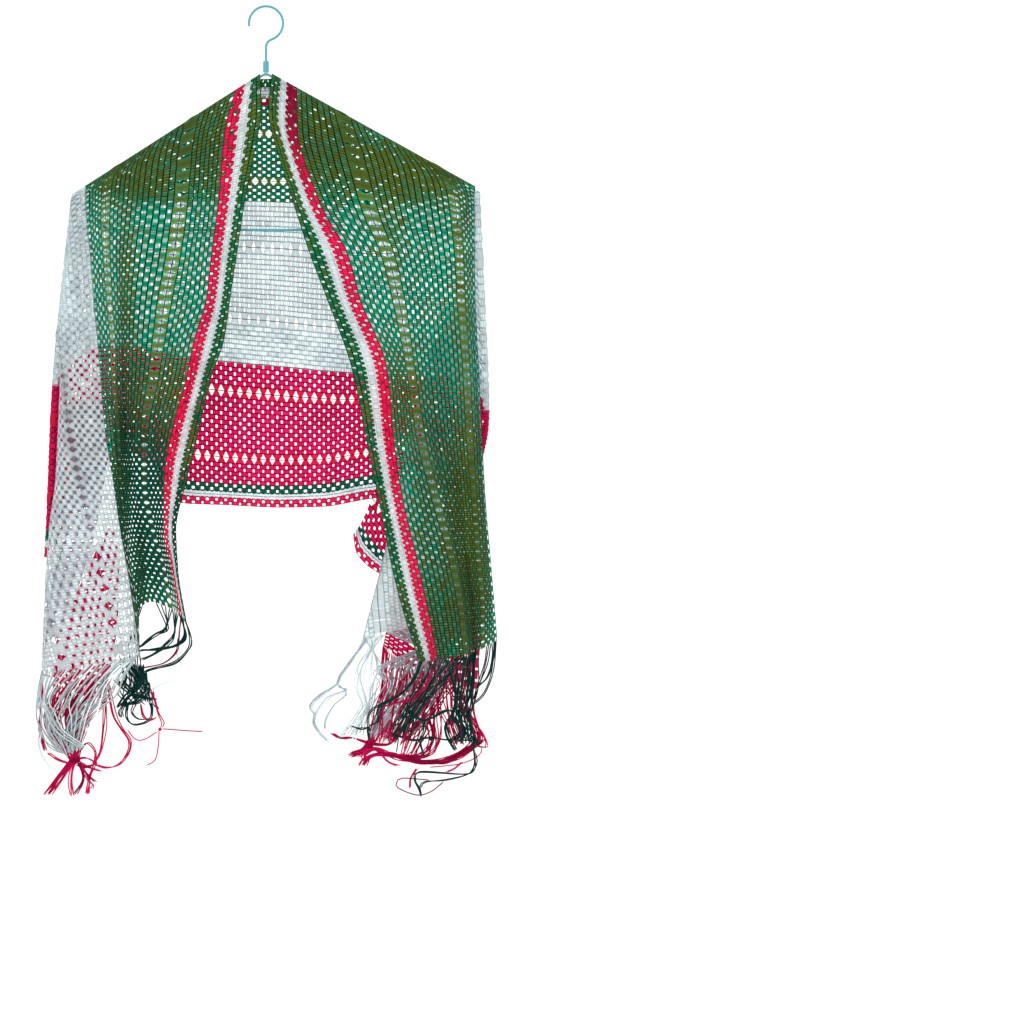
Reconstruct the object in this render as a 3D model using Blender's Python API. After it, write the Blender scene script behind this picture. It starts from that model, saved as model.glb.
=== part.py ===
"""A rebozo shawl, an openwork cloth in green, white and crimson bands, hung over a coated wire hanger.

Frame: metres, +Z up, the front towards -Y, +X to the viewer's right. The origin is the seat of the hanger's hook,
the point that rests on a rail. The tables below are in millimetres.

The cloth is one woven rectangle. Each stretch of it is a table of sections. A section runs across the cloth, from
one rail to the next, and a rail is a line that follows the cloth's length. Smooth curves join the rows.
"""

import math

import bmesh
import bpy
import numpy as np

MM = 0.001

# Cloth
CLOTH = 2.0  # thickness of the openwork, at its yarns
FRINGE = 3.0  # thickness of a fringe's wall
SEAM = 0.3  # clearance between neighbouring pieces
FRINGE_FLATTENS = (0.9, 0.75, 0.6)  # share of the folds' depth left at each row of a fringe

# Hanger: one wire bent to two arms and a bar
WIRE = 3.0
HANGER_APEX = -79.0
HANGER_BAR = -267.0
CORNER_RADIUS = 34.0
LEFT_SLOPE = math.tan(math.radians(32.6))
RIGHT_SLOPE = math.tan(math.radians(29.0))
HOOK_RADIUS = 20.5  # to the wire's centre
PEAK_RADIUS = 8.0  # bend between the two arms
NECK_BEND = 10.0  # bend between the hook's neck and its arc
HOOK_TIP = 190  # degrees, measured from +X towards +Z
COLLAR_RADIUS = 3.6
COLLAR_HEIGHT = 14.0
OVER_ARM = WIRE / 2 + 0.5 + CLOTH / 2  # from the wire's centre to the middle of the cloth on it
ARM_STEPS = 6  # facets over the arm

YARNS = {
    "green": ((0.010, 0.190, 0.105, 1.0), 0.85),
    "white": ((0.640, 0.720, 0.730, 1.0), 0.85),
    "crimson": ((0.560, 0.008, 0.080, 1.0), 0.85),
    "wire": ((0.020, 0.210, 0.250, 1.0), 0.35),
}

# Left front. x and y at eight rails, and z at five of them; the first row lies over the hanger's arm.
# neck: neck edge; band: end of the border; rib: first open row; dip: fold between the open rows;
# rib2: second open row; seam: green meets white; mid: middle of the white; side: outer fold.
LEFT_FRONT = {
    "neck_x": (-7, -5, -24, -34, -42, -49, -65, -79, -94, -108, -106, -96),
    "band_x": (-37, -48, -56, -64, -70, -84, -94, -110, -120, -121, -113, -103),
    "rib_x": (-89, -95, -101, -109, -119, -126, -133, -143, -144, -134, -121, -113),
    "dip_x": (-139, -148, -155, -162, -166, -167, -167, -166, -163, -158, -148, -137),
    "rib2_x": (-181, -190, -192, -190, -186, -182, -181, -176, -174, -168, -162, -152),
    "seam_x": (-216, -216, -214, -209, -205, -200, -196, -191, -181, -172, -160, -149),
    "mid_x": (-225, -227, -226, -225, -225, -225, -224, -223, -218, -212, -205, -199),
    "side_x": (-233, -235, -236, -239, -245, -247, -246, -248, -251, -259, -264, -268),
    "neck_y": (0, -10, -14, -16, -18, -20, -22, -22, -18, -4, 2, 2),
    "band_y": (0, -12, -18, -22, -26, -28, -30, -31, -30, -24, -16, -11),
    "rib_y": (0, -12, -20, -26, -30, -33, -34, -33, -29, -24, -18, -14),
    "dip_y": (0, -9, -11, -10, -9, -8, -8, -8, -8, -8, -8, -8),
    "rib2_y": (0, -9, -15, -20, -23, -25, -25, -22, -17, -12, -10, -9),
    "seam_y": (0, -5, -10, -15, -20, -25, -30, -34, -38, -40, -41, -38),
    "mid_y": (0, -6, -12, -18, -24, -30, -35, -39, -42, -44, -45, -44),
    "side_y": (0, -2, -4, -6, -8, -10, -12, -13, -14, -14, -14, -14),
    "neck_z": (0, -125, -231, -297, -351, -399, -447, -507, -567, -627, -675, -737),
    "dip_z": (0, -187, -243, -299, -352, -400, -447, -507, -567, -625, -669, -713),
    "rib2_z": (0, -212, -251, -300, -353, -401, -447, -507, -567, -627, -674, -727),
    "seam_z": (0, -226, -261, -303, -355, -402, -448, -507, -567, -628, -697, -776),
    "side_z": (0, -237, -273, -305, -357, -403, -449, -507, -567, -629, -712, -799),
}
# Right front, in the same way: rib and rib2 are the open rows, side is where the green turns behind.
RIGHT_FRONT = {
    "neck_x": (7, 3, 32, 53, 74, 104, 121, 136, 150, 165, 185),
    "band_x": (37, 38, 67, 99, 114, 146, 154, 165, 182, 195, 207),
    "rib_x": (92, 105, 126, 147, 160, 174, 187, 205, 224, 235, 241),
    "dip_x": (149, 165, 178, 190, 198, 207, 216, 227, 238, 247, 250),
    "rib2_x": (205, 224, 230, 233, 235, 241, 245, 250, 255, 260, 260),
    "side_x": (251, 250, 250, 250, 251, 255, 259, 263, 269, 274, 277),
    "neck_y": (0, -10, -14, -18, -22, -26, -30, -34, -37, -40, -42),
    "band_y": (0, -12, -18, -24, -28, -32, -36, -38, -40, -42, -44),
    "rib_y": (0, -12, -20, -26, -30, -34, -36, -36, -36, -36, -37),
    "dip_y": (0, -9, -13, -14, -13, -12, -10, -8, -7, -6, -6),
    "rib2_y": (0, -7, -12, -14, -15, -15, -15, -14, -13, -12, -12),
    "side_y": (0, -2, 0, 2, 3, 4, 5, 6, 7, 8, 8),
    "neck_z": (0, -125, -231, -296, -351, -435, -519, -591, -663, -723, -785),
    "dip_z": (0, -193, -255, -302, -354, -436, -519, -590, -662, -722, -774),
    "rib2_z": (0, -219, -263, -306, -356, -437, -519, -590, -661, -721, -769),
    "side_z": (0, -231, -267, -308, -357, -438, -519, -590, -661, -720, -759),
}
# Back, a row for each station from left to right: z at the ends of its bands, and y at three of them.
BACK = {
    "top_x": (-235, -206, -175, -142, -127, -100, -50, 16, 67, 121, 197, 239, 257),
    "crimson_x": (-257, -209, -175, -142, -127, -100, -50, 16, 67, 121, 197, 243, 268),
    "hem_x": (-267, -214, -175, -141, -126, -100, -50, 16, 67, 121, 195, 236, 252),
    "white_z": (-228, -214, -229, -231, -231, -231, -231, -232, -235, -236, -231, -215, -220),
    "crimson_z": (-453, -409, -405, -409, -413, -418, -424, -430, -435, -439, -442, -452, -483),
    "hem_z": (-627, -555, -509, -515, -555, -567, -571, -574, -572, -562, -555, -557, -565),
    "edge_z": (-660, -581, -533, -542, -583, -595, -597, -600, -599, -590, -581, -581, -589),
    "white_y": (5, 4, 8, 10, 10, 11, 14, 22, 18, 12, 8, 4, 3),
    "crimson_y": (2, 22, 26, 26, 26, 25, 26, 28, 28, 30, 31, 29, 15),
    "edge_y": (7, 22, 22, 25, 27, 25, 27, 28, 30, 34, 35, 31, 17),
}
BACK_TOP_ENDS = (1, 11)  # the stations between which the green reaches the arms
BACK_BULGE = 0.08  # how far the green's middle stands back, as a share of its height
NECK_REACH = 37.0  # half the width of the neck border's lower edge
NECK_INNER = 8.0  # half the width of its upper edge
NECK_MIDDLE = -121.0  # height of its lower edge behind the hook
NECK_DEPTH = 20.0  # how far that edge stands back from the arms
NECK_SLACK = 16.0  # how far the upper edge stands back
NECK_DROP = 1.6  # its ends' drop below the arms
NECK_SAG = 2.0  # its middle's drop below its ends

# The layers folded behind the fronts, a row for each section, downwards.
LEFT_INNER_WHITE = {
    "turn_x": (-243, -246, -250, -257, -262, -264),
    "mid_x": (-215, -214, -224, -238, -248, -255),
    "end_x": (-198, -192, -203, -222, -237, -247),
    "turn_y": (-5, -6, -6, -6, -6, -6),
    "mid_y": (-4, -3, -3, -3, -3, -3),
    "end_y": (-3, -2, -2, -2, -2, -2),
    "turn_z": (-474, -545, -621, -687, -727, -762),
    "end_z": (-474, -545, -621, -687, -727, -755),
}
LEFT_INNER_CRIMSON = {
    "start_x": (-194, -208, -225, -240, -255, -258),
    "mid_x": (-189, -190, -199, -208, -218, -224),
    "end_x": (-184, -176, -177, -178, -183, -190),
    "start_y": (3, 2, 2, 2, 2, 2),
    "mid_y": (6, 8, 9, 10, 10, 10),
    "end_y": (5, 4, 4, 5, 5, 5),
    "start_z": (-625, -661, -697, -729, -775, -805),
    "mid_z": (-625, -661, -697, -736, -782, -824),
    "end_z": (-625, -661, -697, -732, -772, -806),
}
RIGHT_INNER_WHITE = {
    "turn_x": (250, 256, 259, 263, 267, 271, 274),
    "mid_x": (234, 226, 217, 210, 205, 199, 197),
    "end_x": (209, 191, 170, 157, 140, 125, 115),
    "turn_y": (9, 10, 12, 13, 14, 14, 14),
    "mid_y": (11, 12, 12, 12, 12, 12, 12),
    "end_y": (9, 9, 9, 9, 9, 9, 9),
    "turn_z": (-357, -438, -519, -590, -661, -720, -757),
    "mid_z": (-357, -438, -519, -590, -661, -718, -744),
    "end_z": (-357, -438, -519, -590, -661, -720, -760),
}
RIGHT_INNER_CRIMSON = {
    "start_x": (151, 149, 144, 140),
    "mid_x": (198, 198, 196, 193),
    "end_x": (254, 257, 258, 253),
    "start_y": (21, 20, 20, 20),
    "mid_y": (26, 26, 26, 26),
    "end_y": (21, 20, 19, 19),
    "start_z": (-669, -711, -747, -766),
    "mid_z": (-669, -711, -747, -806),
    "end_z": (-669, -711, -747, -819),
}
RIGHT_FLAP = {
    "top_x": (132, 143, 154, 163),
    "hem_x": (113, 120, 132, 146),
    "edge_x": (104, 107, 120, 138),
    "top_y": (23, 18, 17, 17),
    "hem_y": (23, 18, 17, 17),
    "edge_y": (22, 17, 16, 16),
    "top_z": (-575, -587, -605, -627),
    "hem_z": (-619, -632, -646, -661),
    "edge_z": (-632, -652, -669, -681),
}

# Fringes: each starts at the end of its stretch, and its reach narrows as these rows say.
LEFT_FRINGE_GREEN = {
    "left_x": (-146, -170, -180),
    "right_x": (-96, -110, -142),
    "z": (-784, -832, -864),
    "y": (-4, -3, -3),
}
LEFT_FRINGE_WHITE = {
    "left_x": (-272, -266, -250),
    "right_x": (-166, -196, -226),
    "z": (-830, -872, -905),
    "y": (-36, -36, -36),
}
LEFT_FRINGE_CRIMSON = {
    "left_x": (-266, -256, -262),
    "right_x": (-196, -214, -208),
    "z": (-864, -905, -947),
    "y": (10, 8, 8),
}
RIGHT_FRINGE_GREEN = {
    "left_x": (172, 158, 190),
    "right_x": (278, 270, 264),
    "z": (-830, -880, -912),
    "y": (-20, -20, -20),
}
RIGHT_FRINGE_WHITE = {
    "left_x": (86, 62, 68),
    "right_x": (214, 190, 150),
    "z": (-800, -845, -886),
    "y": (9, 8, 8),
}
RIGHT_FRINGE_CRIMSON = {
    "left_x": (132, 104, 128),
    "right_x": (264, 266, 254),
    "z": (-858, -905, -940),
    "y": (24, 24, 24),
}


def clear_scene():
    for obj in list(bpy.data.objects):
        bpy.data.objects.remove(obj, do_unlink=True)


def material(name):
    colour, roughness = YARNS[name]
    made = bpy.data.materials.get(name) or bpy.data.materials.new(name)
    made.use_nodes = True
    shader = made.node_tree.nodes["Principled BSDF"]
    shader.inputs["Base Color"].default_value = colour
    shader.inputs["Roughness"].default_value = roughness
    shader.inputs["Metallic"].default_value = 0.0
    return made


def smooth(knots, values, at):
    """A curve through the values at the knots, with no overshoot, read at each number of at."""
    knots = np.asarray(knots, float)
    values = np.asarray(values, float)
    at = np.clip(np.asarray(at, float), knots[0], knots[-1])
    step = np.diff(knots)
    slope = np.diff(values, axis=0) / step.reshape(-1, *[1] * (values.ndim - 1))
    tangent = np.zeros_like(values)
    tangent[0], tangent[-1] = slope[0], slope[-1]
    same_way = slope[:-1] * slope[1:] > 0
    with np.errstate(divide="ignore", invalid="ignore"):
        harmonic = 2 * slope[:-1] * slope[1:] / (slope[:-1] + slope[1:])
    tangent[1:-1] = np.where(same_way, harmonic, 0.0)
    index = np.clip(np.searchsorted(knots, at, side="right") - 1, 0, len(knots) - 2)
    shape = (-1, *[1] * (values.ndim - 1))
    width = step[index].reshape(shape)
    part = ((at - knots[index]) / step[index]).reshape(shape)
    near, far = values[index], values[index + 1]
    return (
        near * (1 + 2 * part) * (1 - part) ** 2
        + tangent[index] * width * part * (1 - part) ** 2
        + far * part**2 * (3 - 2 * part)
        + tangent[index + 1] * width * part**2 * (part - 1)
    )


def rails_of(table, names, z_names=None):
    """The table's rails as an array [row, rail, xyz]. Where only some rails give z, the others lie between them."""
    z_names = z_names or names
    given = [names.index(name) for name in z_names]
    x = np.array([table[name + "_x"] for name in names], float).T
    y = np.array([table[name + "_y"] for name in names], float).T
    z_given = np.array([table[name + "_z"] for name in z_names], float).T
    z = np.array([np.interp(range(len(names)), given, row) for row in z_given])
    return np.stack([x, y, z], axis=2)


def arm_height(x):
    """Height of the wire's centre along the hanger's arms."""
    return HANGER_APEX - (LEFT_SLOPE * -x if x < 0 else RIGHT_SLOPE * x)


def over_arm(rails):
    """Puts the half turn over the arm before a front's rows, in place of its first row."""
    slope = LEFT_SLOPE if rails[0, :, 0].mean() < 0 else RIGHT_SLOPE
    rise = OVER_ARM * math.hypot(1, slope)
    turned = []
    for step in range(ARM_STEPS + 1):
        angle = math.pi * (0.5 - step / ARM_STEPS)
        turned.append(
            [(x, OVER_ARM * math.sin(angle), arm_height(x) + rise * math.cos(angle)) for x in rails[0, :, 0]]
        )
    return np.concatenate([np.array(turned), rails[1:]])


def refine(rails, rows_between, rail_steps, first_row=0):
    """A grid of points: rows_between more rows after first_row, and rail_steps[i] facets from rail i to the next."""
    count = len(rails)
    rows = list(range(first_row)) + list(np.arange(first_row, count - 1 + 1e-6, 1.0 / rows_between))
    along = smooth(range(count), rails, rows)
    across = [rail + step / steps for rail, steps in enumerate(rail_steps) for step in range(steps)]
    across.append(len(rail_steps))
    return np.stack([smooth(range(rails.shape[1]), row, across) for row in along])


def unit(vectors):
    return vectors / np.maximum(np.linalg.norm(vectors, axis=-1, keepdims=True), 1e-9)


def wall(name, yarn, grid, thickness=CLOTH, columns=None, clear=(0, 0, 0, 0)):
    """A closed wall on the grid's points, or on the columns given. clear is the gap left at its first row, last row,
    first column and last column."""
    normals = unit(np.cross(np.gradient(grid, axis=0), np.gradient(grid, axis=1)))
    first, last = columns or (0, grid.shape[1] - 1)
    points = grid[:, first : last + 1].copy()
    normals = normals[:, first : last + 1]
    points[0] += unit(points[1] - points[0]) * clear[0]
    points[-1] += unit(points[-2] - points[-1]) * clear[1]
    points[:, 0] += unit(points[:, 1] - points[:, 0]) * clear[2]
    points[:, -1] += unit(points[:, -2] - points[:, -1]) * clear[3]

    rows, across = points.shape[:2]
    sides = [points + normals * thickness / 2, points - normals * thickness / 2]
    work = bmesh.new()
    grids = [[[work.verts.new(side[r, c] * MM) for c in range(across)] for r in range(rows)] for side in sides]
    for r in range(rows - 1):
        for c in range(across - 1):
            for face in grids:
                work.faces.new((face[r][c], face[r + 1][c], face[r + 1][c + 1], face[r][c + 1]))
    rim = [(0, c) for c in range(across)] + [(r, across - 1) for r in range(1, rows)]
    rim += [(rows - 1, c) for c in range(across - 2, -1, -1)] + [(r, 0) for r in range(rows - 2, 0, -1)]
    for here, there in zip(rim, rim[1:] + rim[:1]):
        corners = [grids[0][here[0]][here[1]], grids[0][there[0]][there[1]]]
        corners += [grids[1][there[0]][there[1]], grids[1][here[0]][here[1]]]
        work.faces.new(corners)
    bmesh.ops.recalc_face_normals(work, faces=work.faces)
    bmesh.ops.triangulate(work, faces=work.faces)
    if work.calc_volume(signed=True) < 0:
        bmesh.ops.reverse_faces(work, faces=work.faces)
    mesh = bpy.data.meshes.new(name)
    work.to_mesh(mesh)
    work.free()
    mesh.shade_smooth()
    mesh.set_sharp_from_angle(angle=math.radians(40))
    mesh.materials.append(material(yarn))
    obj = bpy.data.objects.new(name, mesh)
    bpy.context.scene.collection.objects.link(obj)
    return obj


def fringe(name, yarn, grid, table):
    """A plain wall from the last row of a stretch's grid, narrowing through the table's rows."""
    end = grid[-1]
    left, right = end[:, 0].min(), end[:, 0].max()
    middle = (end[:, 1].min() + end[:, 1].max()) / 2
    rows = [end]
    for row, z in enumerate(table["z"]):
        share = (end[:, 0] - left) / (right - left)
        x = table["left_x"][row] + share * (table["right_x"][row] - table["left_x"][row])
        y = table["y"][row] + (end[:, 1] - middle) * FRINGE_FLATTENS[row]
        rows.append(np.stack([x, y, np.full(len(end), float(z))], axis=1))
    reach = smooth(range(len(rows)), np.array(rows), np.arange(0, len(rows) - 0.9, 0.5))
    return wall(name, yarn, reach, thickness=FRINGE, clear=(SEAM * 3, 0, 0, 0))


def build_left_front():
    names = ["neck", "band", "rib", "dip", "rib2", "seam", "mid", "side"]
    rails = over_arm(rails_of(LEFT_FRONT, names, ["neck", "dip", "rib2", "seam", "side"]))
    grid = refine(rails, 2, (2, 2, 3, 3, 2, 2, 2), first_row=ARM_STEPS)
    half = SEAM / 2
    wall("left_front_border", "green", grid, columns=(0, 2), clear=(half, 0, 0, half))
    wall("left_front_green", "green", grid, columns=(2, 12), clear=(half, 0, half, half))
    wall("left_front_white", "white", grid, columns=(12, 16), clear=(half, 0, half, 0))
    fringe("left_fringe_green", "green", grid[:, :10], LEFT_FRINGE_GREEN)
    fringe("left_fringe_white", "white", grid[:, 12:], LEFT_FRINGE_WHITE)


def build_right_front():
    names = ["neck", "band", "rib", "dip", "rib2", "side"]
    rails = over_arm(rails_of(RIGHT_FRONT, names, ["neck", "dip", "rib2", "side"]))
    grid = refine(rails, 2, (2, 2, 3, 3, 2), first_row=ARM_STEPS)
    half = SEAM / 2
    wall("right_front_border", "green", grid, columns=(0, 2), clear=(half, 0, 0, half))
    wall("right_front_green", "green", grid, columns=(2, 12), clear=(half, 0, half, 0))
    fringe("right_fringe_green", "green", grid, RIGHT_FRINGE_GREEN)


def build_inner_layers():
    grid = refine(rails_of(LEFT_INNER_WHITE, ["turn", "mid", "end"], ["turn", "end"]), 2, (2, 2))
    wall("left_inner_white", "white", grid)
    grid = refine(rails_of(LEFT_INNER_CRIMSON, ["start", "mid", "end"]), 2, (3, 3))
    wall("left_inner_crimson", "crimson", grid)
    fringe("left_fringe_crimson", "crimson", grid, LEFT_FRINGE_CRIMSON)
    grid = refine(rails_of(RIGHT_INNER_WHITE, ["turn", "mid", "end"]), 2, (3, 3))
    wall("right_inner_white", "white", grid)
    fringe("right_fringe_white", "white", grid, RIGHT_FRINGE_WHITE)
    grid = refine(rails_of(RIGHT_INNER_CRIMSON, ["start", "mid", "end"]), 2, (4, 4))
    wall("right_inner_crimson", "crimson", grid)
    fringe("right_fringe_crimson", "crimson", grid, RIGHT_FRINGE_CRIMSON)
    grid = refine(rails_of(RIGHT_FLAP, ["top", "hem", "edge"]), 2, (2, 1))
    wall("right_corner_flap", "crimson", grid)


def build_back():
    bands = ["white", "crimson", "hem", "edge"]
    stations = len(BACK["top_x"])
    x_given = np.array([BACK["top_x"], BACK["crimson_x"], BACK["hem_x"]], float).T
    y_given = np.array([BACK["white_y"], BACK["crimson_y"], BACK["edge_y"]], float).T
    x = np.array([np.interp((0, 1, 1.8, 2), (0, 1, 2), row) for row in x_given])
    y = np.array([np.interp((0, 1, 1.8, 2), (0, 1, 2), row) for row in y_given])
    z = np.array([BACK[name + "_z"] for name in bands], float).T
    rails = np.stack([x, y, z], axis=2)
    for end in (0, -1):  # beyond the arms' corners the top edge lies on the line of the arms
        rails[end, 0, 2] = arm_height(rails[end, 0, 0]) - SEAM
    grid = refine(rails, 2, (4, 4, 1))
    half = SEAM / 2
    wall("back_white", "white", grid, columns=(0, 4), clear=(0, 0, half, half))
    wall("back_crimson", "crimson", grid, columns=(4, 8), clear=(0, 0, half, half))
    wall("back_hem_border", "white", grid, columns=(8, 9), clear=(0, 0, half, 0))

    # The green reaches the arms; its top edge runs along them, and between them along the neck border.
    first, last = (2 * station for station in BACK_TOP_ENDS)
    lower = grid[first : last + 1, 0]
    upper = []
    for point in lower:
        share = min(1.0, abs(point[0]) / NECK_REACH)
        arm_edge = arm_height(math.copysign(NECK_REACH, point[0])) - SEAM
        border_edge = NECK_MIDDLE + (arm_edge - NECK_MIDDLE) * share**2
        depth = OVER_ARM + NECK_DEPTH * (1 - share**2)
        upper.append((point[0], depth, border_edge if share < 1 else arm_height(point[0]) - SEAM))
    upper = np.array(upper)
    bulge = np.linalg.norm(upper - lower, axis=1)[:, None] * BACK_BULGE
    middle = (upper + lower) / 2 + np.array([0.0, 1.0, 0.0]) * bulge
    green = refine(np.stack([upper, middle, lower], axis=1), 1, (2, 2))
    wall("back_green", "green", green, clear=(0, 0, half, half))

    # Neck border: behind the hook, from one arm to the other.
    across = [point for point in upper if abs(point[0]) < NECK_REACH]
    left_end = (-NECK_REACH, OVER_ARM + SEAM, arm_height(-NECK_REACH) - NECK_DROP)
    right_end = (NECK_REACH, OVER_ARM + SEAM, arm_height(NECK_REACH) - NECK_DROP)
    lower = np.array([left_end, *across, right_end])
    upper = []
    for point in lower:
        x = point[0] / NECK_REACH * NECK_INNER
        bend = 1 - (x / NECK_INNER) ** 2
        upper.append((x, OVER_ARM + SEAM + NECK_SLACK * bend, arm_height(x) - NECK_DROP - NECK_SAG * bend))
    border = np.stack([np.array(upper), lower], axis=1)
    wall("back_neck_border", "green", refine(border, 1, (2,)), clear=(0, 0, 0, half))


def arc(centre, radius, start, end, steps):
    """Points in the XZ plane on an arc, angles in degrees, measured from +X towards +Z."""
    turn = [math.radians(start + (end - start) * step / steps) for step in range(steps + 1)]
    return [(centre[0] + radius * math.cos(a), 0.0, centre[1] + radius * math.sin(a)) for a in turn]


def wire_curve(name, points, closed):
    data = bpy.data.curves.new(name, "CURVE")
    data.dimensions = "3D"
    data.bevel_depth = WIRE / 2 * MM
    data.bevel_resolution = 2
    data.use_fill_caps = True
    line = data.splines.new("POLY")
    line.points.add(len(points) - 1)
    for point, place in zip(line.points, points):
        point.co = (place[0] * MM, place[1] * MM, place[2] * MM, 1.0)
    line.use_cyclic_u = closed
    data.materials.append(material("wire"))
    obj = bpy.data.objects.new(name, data)
    bpy.context.scene.collection.objects.link(obj)
    return obj


def corner_centre(slope, side):
    """Centre of the round corner that touches the arm and the bar."""
    z = HANGER_BAR + CORNER_RADIUS
    reach = (HANGER_APEX - z - CORNER_RADIUS * math.hypot(1, slope)) / slope
    return (side * reach, z)


def build_hanger():
    left_tilt = math.degrees(math.atan(LEFT_SLOPE))
    right_tilt = math.degrees(math.atan(RIGHT_SLOPE))
    tilt = math.radians((left_tilt + right_tilt) / 2)
    peak = (0.0, HANGER_APEX - PEAK_RADIUS / math.cos(tilt) + 0.05)
    outline = arc(peak, PEAK_RADIUS, 90 + left_tilt, 90 - right_tilt, 6)
    outline += arc(corner_centre(RIGHT_SLOPE, 1), CORNER_RADIUS, 90 - right_tilt, -90, 12)
    outline += arc(corner_centre(LEFT_SLOPE, -1), CORNER_RADIUS, -90, -270 + left_tilt, 12)
    wire_curve("hanger_frame", outline, closed=True)

    # Hook: a collar on the peak, a straight neck, a bend, and an arc whose inner top is the origin.
    top_of_peak = peak[1] + PEAK_RADIUS + WIRE / 2 + SEAM
    centre = (0.0, -(HOOK_RADIUS - WIRE / 2))
    bend = (NECK_BEND, centre[1] - math.sqrt((HOOK_RADIUS + NECK_BEND) ** 2 - NECK_BEND**2))
    meeting = math.degrees(math.atan2(centre[1] - bend[1], -NECK_BEND))
    hook = [(0.0, 0.0, top_of_peak + COLLAR_HEIGHT + SEAM)]
    hook += arc(bend, NECK_BEND, 180, meeting, 6)
    hook += arc(centre, HOOK_RADIUS, meeting - 180, HOOK_TIP, 22)[1:]
    wire_curve("hanger_hook", hook, closed=False)

    work = bmesh.new()
    radius, height = COLLAR_RADIUS * MM, COLLAR_HEIGHT * MM
    bmesh.ops.create_cone(work, cap_ends=True, segments=20, radius1=radius, radius2=radius, depth=height)
    bmesh.ops.bevel(
        work, geom=[e for e in work.edges if abs(e.verts[0].co.z - e.verts[1].co.z) < 1e-6],
        offset=0.6 * MM, segments=2, affect="EDGES",
    )
    mesh = bpy.data.meshes.new("hanger_collar")
    work.to_mesh(mesh)
    work.free()
    mesh.shade_smooth()
    mesh.set_sharp_from_angle(angle=math.radians(40))
    mesh.materials.append(material("wire"))
    collar = bpy.data.objects.new("hanger_collar", mesh)
    collar.location = (0.0, 0.0, (top_of_peak + COLLAR_HEIGHT / 2) * MM)
    bpy.context.scene.collection.objects.link(collar)


def main():
    clear_scene()
    build_left_front()
    build_right_front()
    build_inner_layers()
    build_back()
    build_hanger()


main()
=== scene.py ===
"""A rebozo shawl in openwork cloth, hung over a coated wire hanger.

The cloth is woven here as a net: thin dark yarns run along its length, and bundles of coloured yarn cross from one to
the next. Sizes are in millimetres until a mesh is made. Across the cloth, v runs from the neck edge to the hem; along
it, u runs down each stretch.
"""

import math

import bpy
import numpy as np
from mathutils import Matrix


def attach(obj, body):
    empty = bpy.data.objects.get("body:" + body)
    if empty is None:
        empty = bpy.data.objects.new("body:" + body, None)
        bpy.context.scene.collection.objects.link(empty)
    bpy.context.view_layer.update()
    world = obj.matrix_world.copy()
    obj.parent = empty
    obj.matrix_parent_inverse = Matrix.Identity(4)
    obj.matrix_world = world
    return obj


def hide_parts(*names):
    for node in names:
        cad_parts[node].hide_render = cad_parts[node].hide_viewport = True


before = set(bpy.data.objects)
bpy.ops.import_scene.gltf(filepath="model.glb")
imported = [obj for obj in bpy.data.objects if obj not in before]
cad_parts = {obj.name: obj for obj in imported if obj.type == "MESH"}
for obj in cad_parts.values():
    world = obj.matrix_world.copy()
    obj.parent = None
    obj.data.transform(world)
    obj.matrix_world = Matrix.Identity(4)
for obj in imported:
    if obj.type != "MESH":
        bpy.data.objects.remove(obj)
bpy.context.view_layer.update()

MM = 0.001
RNG = np.random.default_rng(7)

# Cloth
ROW = 5.7  # one row of the openwork, across the cloth
OPEN_ROW = 2.75 * ROW  # a row of crossed bundles, which leave diamond holes
PITCH = 5.65  # from a hole to the next filled cell, along the cloth
YARN = 1.45  # width of one yarn
TWIST = 1.1  # length of one turn of its twist
LINE = 0.72  # half the width of a dark lengthwise yarn
EDGE_LINE = 1.1  # and of the one along the cloth's own edge
MIDDLE_LINE = 0.7  # and of the one through an open row's bundles, as a share of LINE
LEAST = 1.7  # least width of a cell that the cloth's edge cuts
LIFT = 0.7  # height of the lengthwise yarns over the cloth
TOOTH = 0.35  # half the length of a border's tooth, as a share of the pitch
CLOSING = 0.62  # how much longer cells are where the holes close
NEAR, OVER = 0.1, 3.0  # how far a row may lie outside the v asked for, before and after
WRAP, WRAP_V = (9.0, 6.0, 0.0), 11.0  # how far the white goes on round the outer fold, in x, y, z and in v
BACK_WRAP = np.array((8.0, -5.0, 0.0))  # and how far the back goes on round its outer folds
LINE_SIDE = 0.15  # height of a lengthwise yarn's two sides over the cloth
CELL_WANDER, TOOTH_WANDER, LINE_WANDER = 0.2, 0.3, 0.16  # how far each strays from its place
CELL_SPREAD, LINE_SPREAD, STRAND_SPREAD = 0.07, 0.12, 0.16  # and how much its shade varies
OLIVE_SPREAD, OLIVE_CHANCE, OLIVE_MORE = 0.14, 0.25, 0.25  # how much the olive varies, and how often some are more so
HEM_LINE = 1.8  # where the hem's line is, with the crimson's at 1 and the cloth's edge at 2
INNER_SHADE = np.array((0.6, 0.48, 0.55))  # the white folded behind the left front is in its shade
SHOW_THROUGH = 0.42  # share of the light that passes through the yarns
FORWARD, BACKWARD = (0, -1, 0), (0, 1, 0)  # the way a stretch's outer face looks

# Hanger
WIRE = 3.0
HANGER_APEX = -79.0
LEFT_SLOPE = math.tan(math.radians(32.6))
RIGHT_SLOPE = math.tan(math.radians(29.0))
OVER_ARM = WIRE / 2 + 1.5
ARM_STEPS = 6

# Studio, in metres
FLOOR_REACH, FLOOR_Z = 3, -1.2
CAMERA_DISTANCE, FRAME_WIDTH = 6.0, 1.2288

# The tables below are text: a row's first word, then its numbers, in parts between bars.

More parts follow.
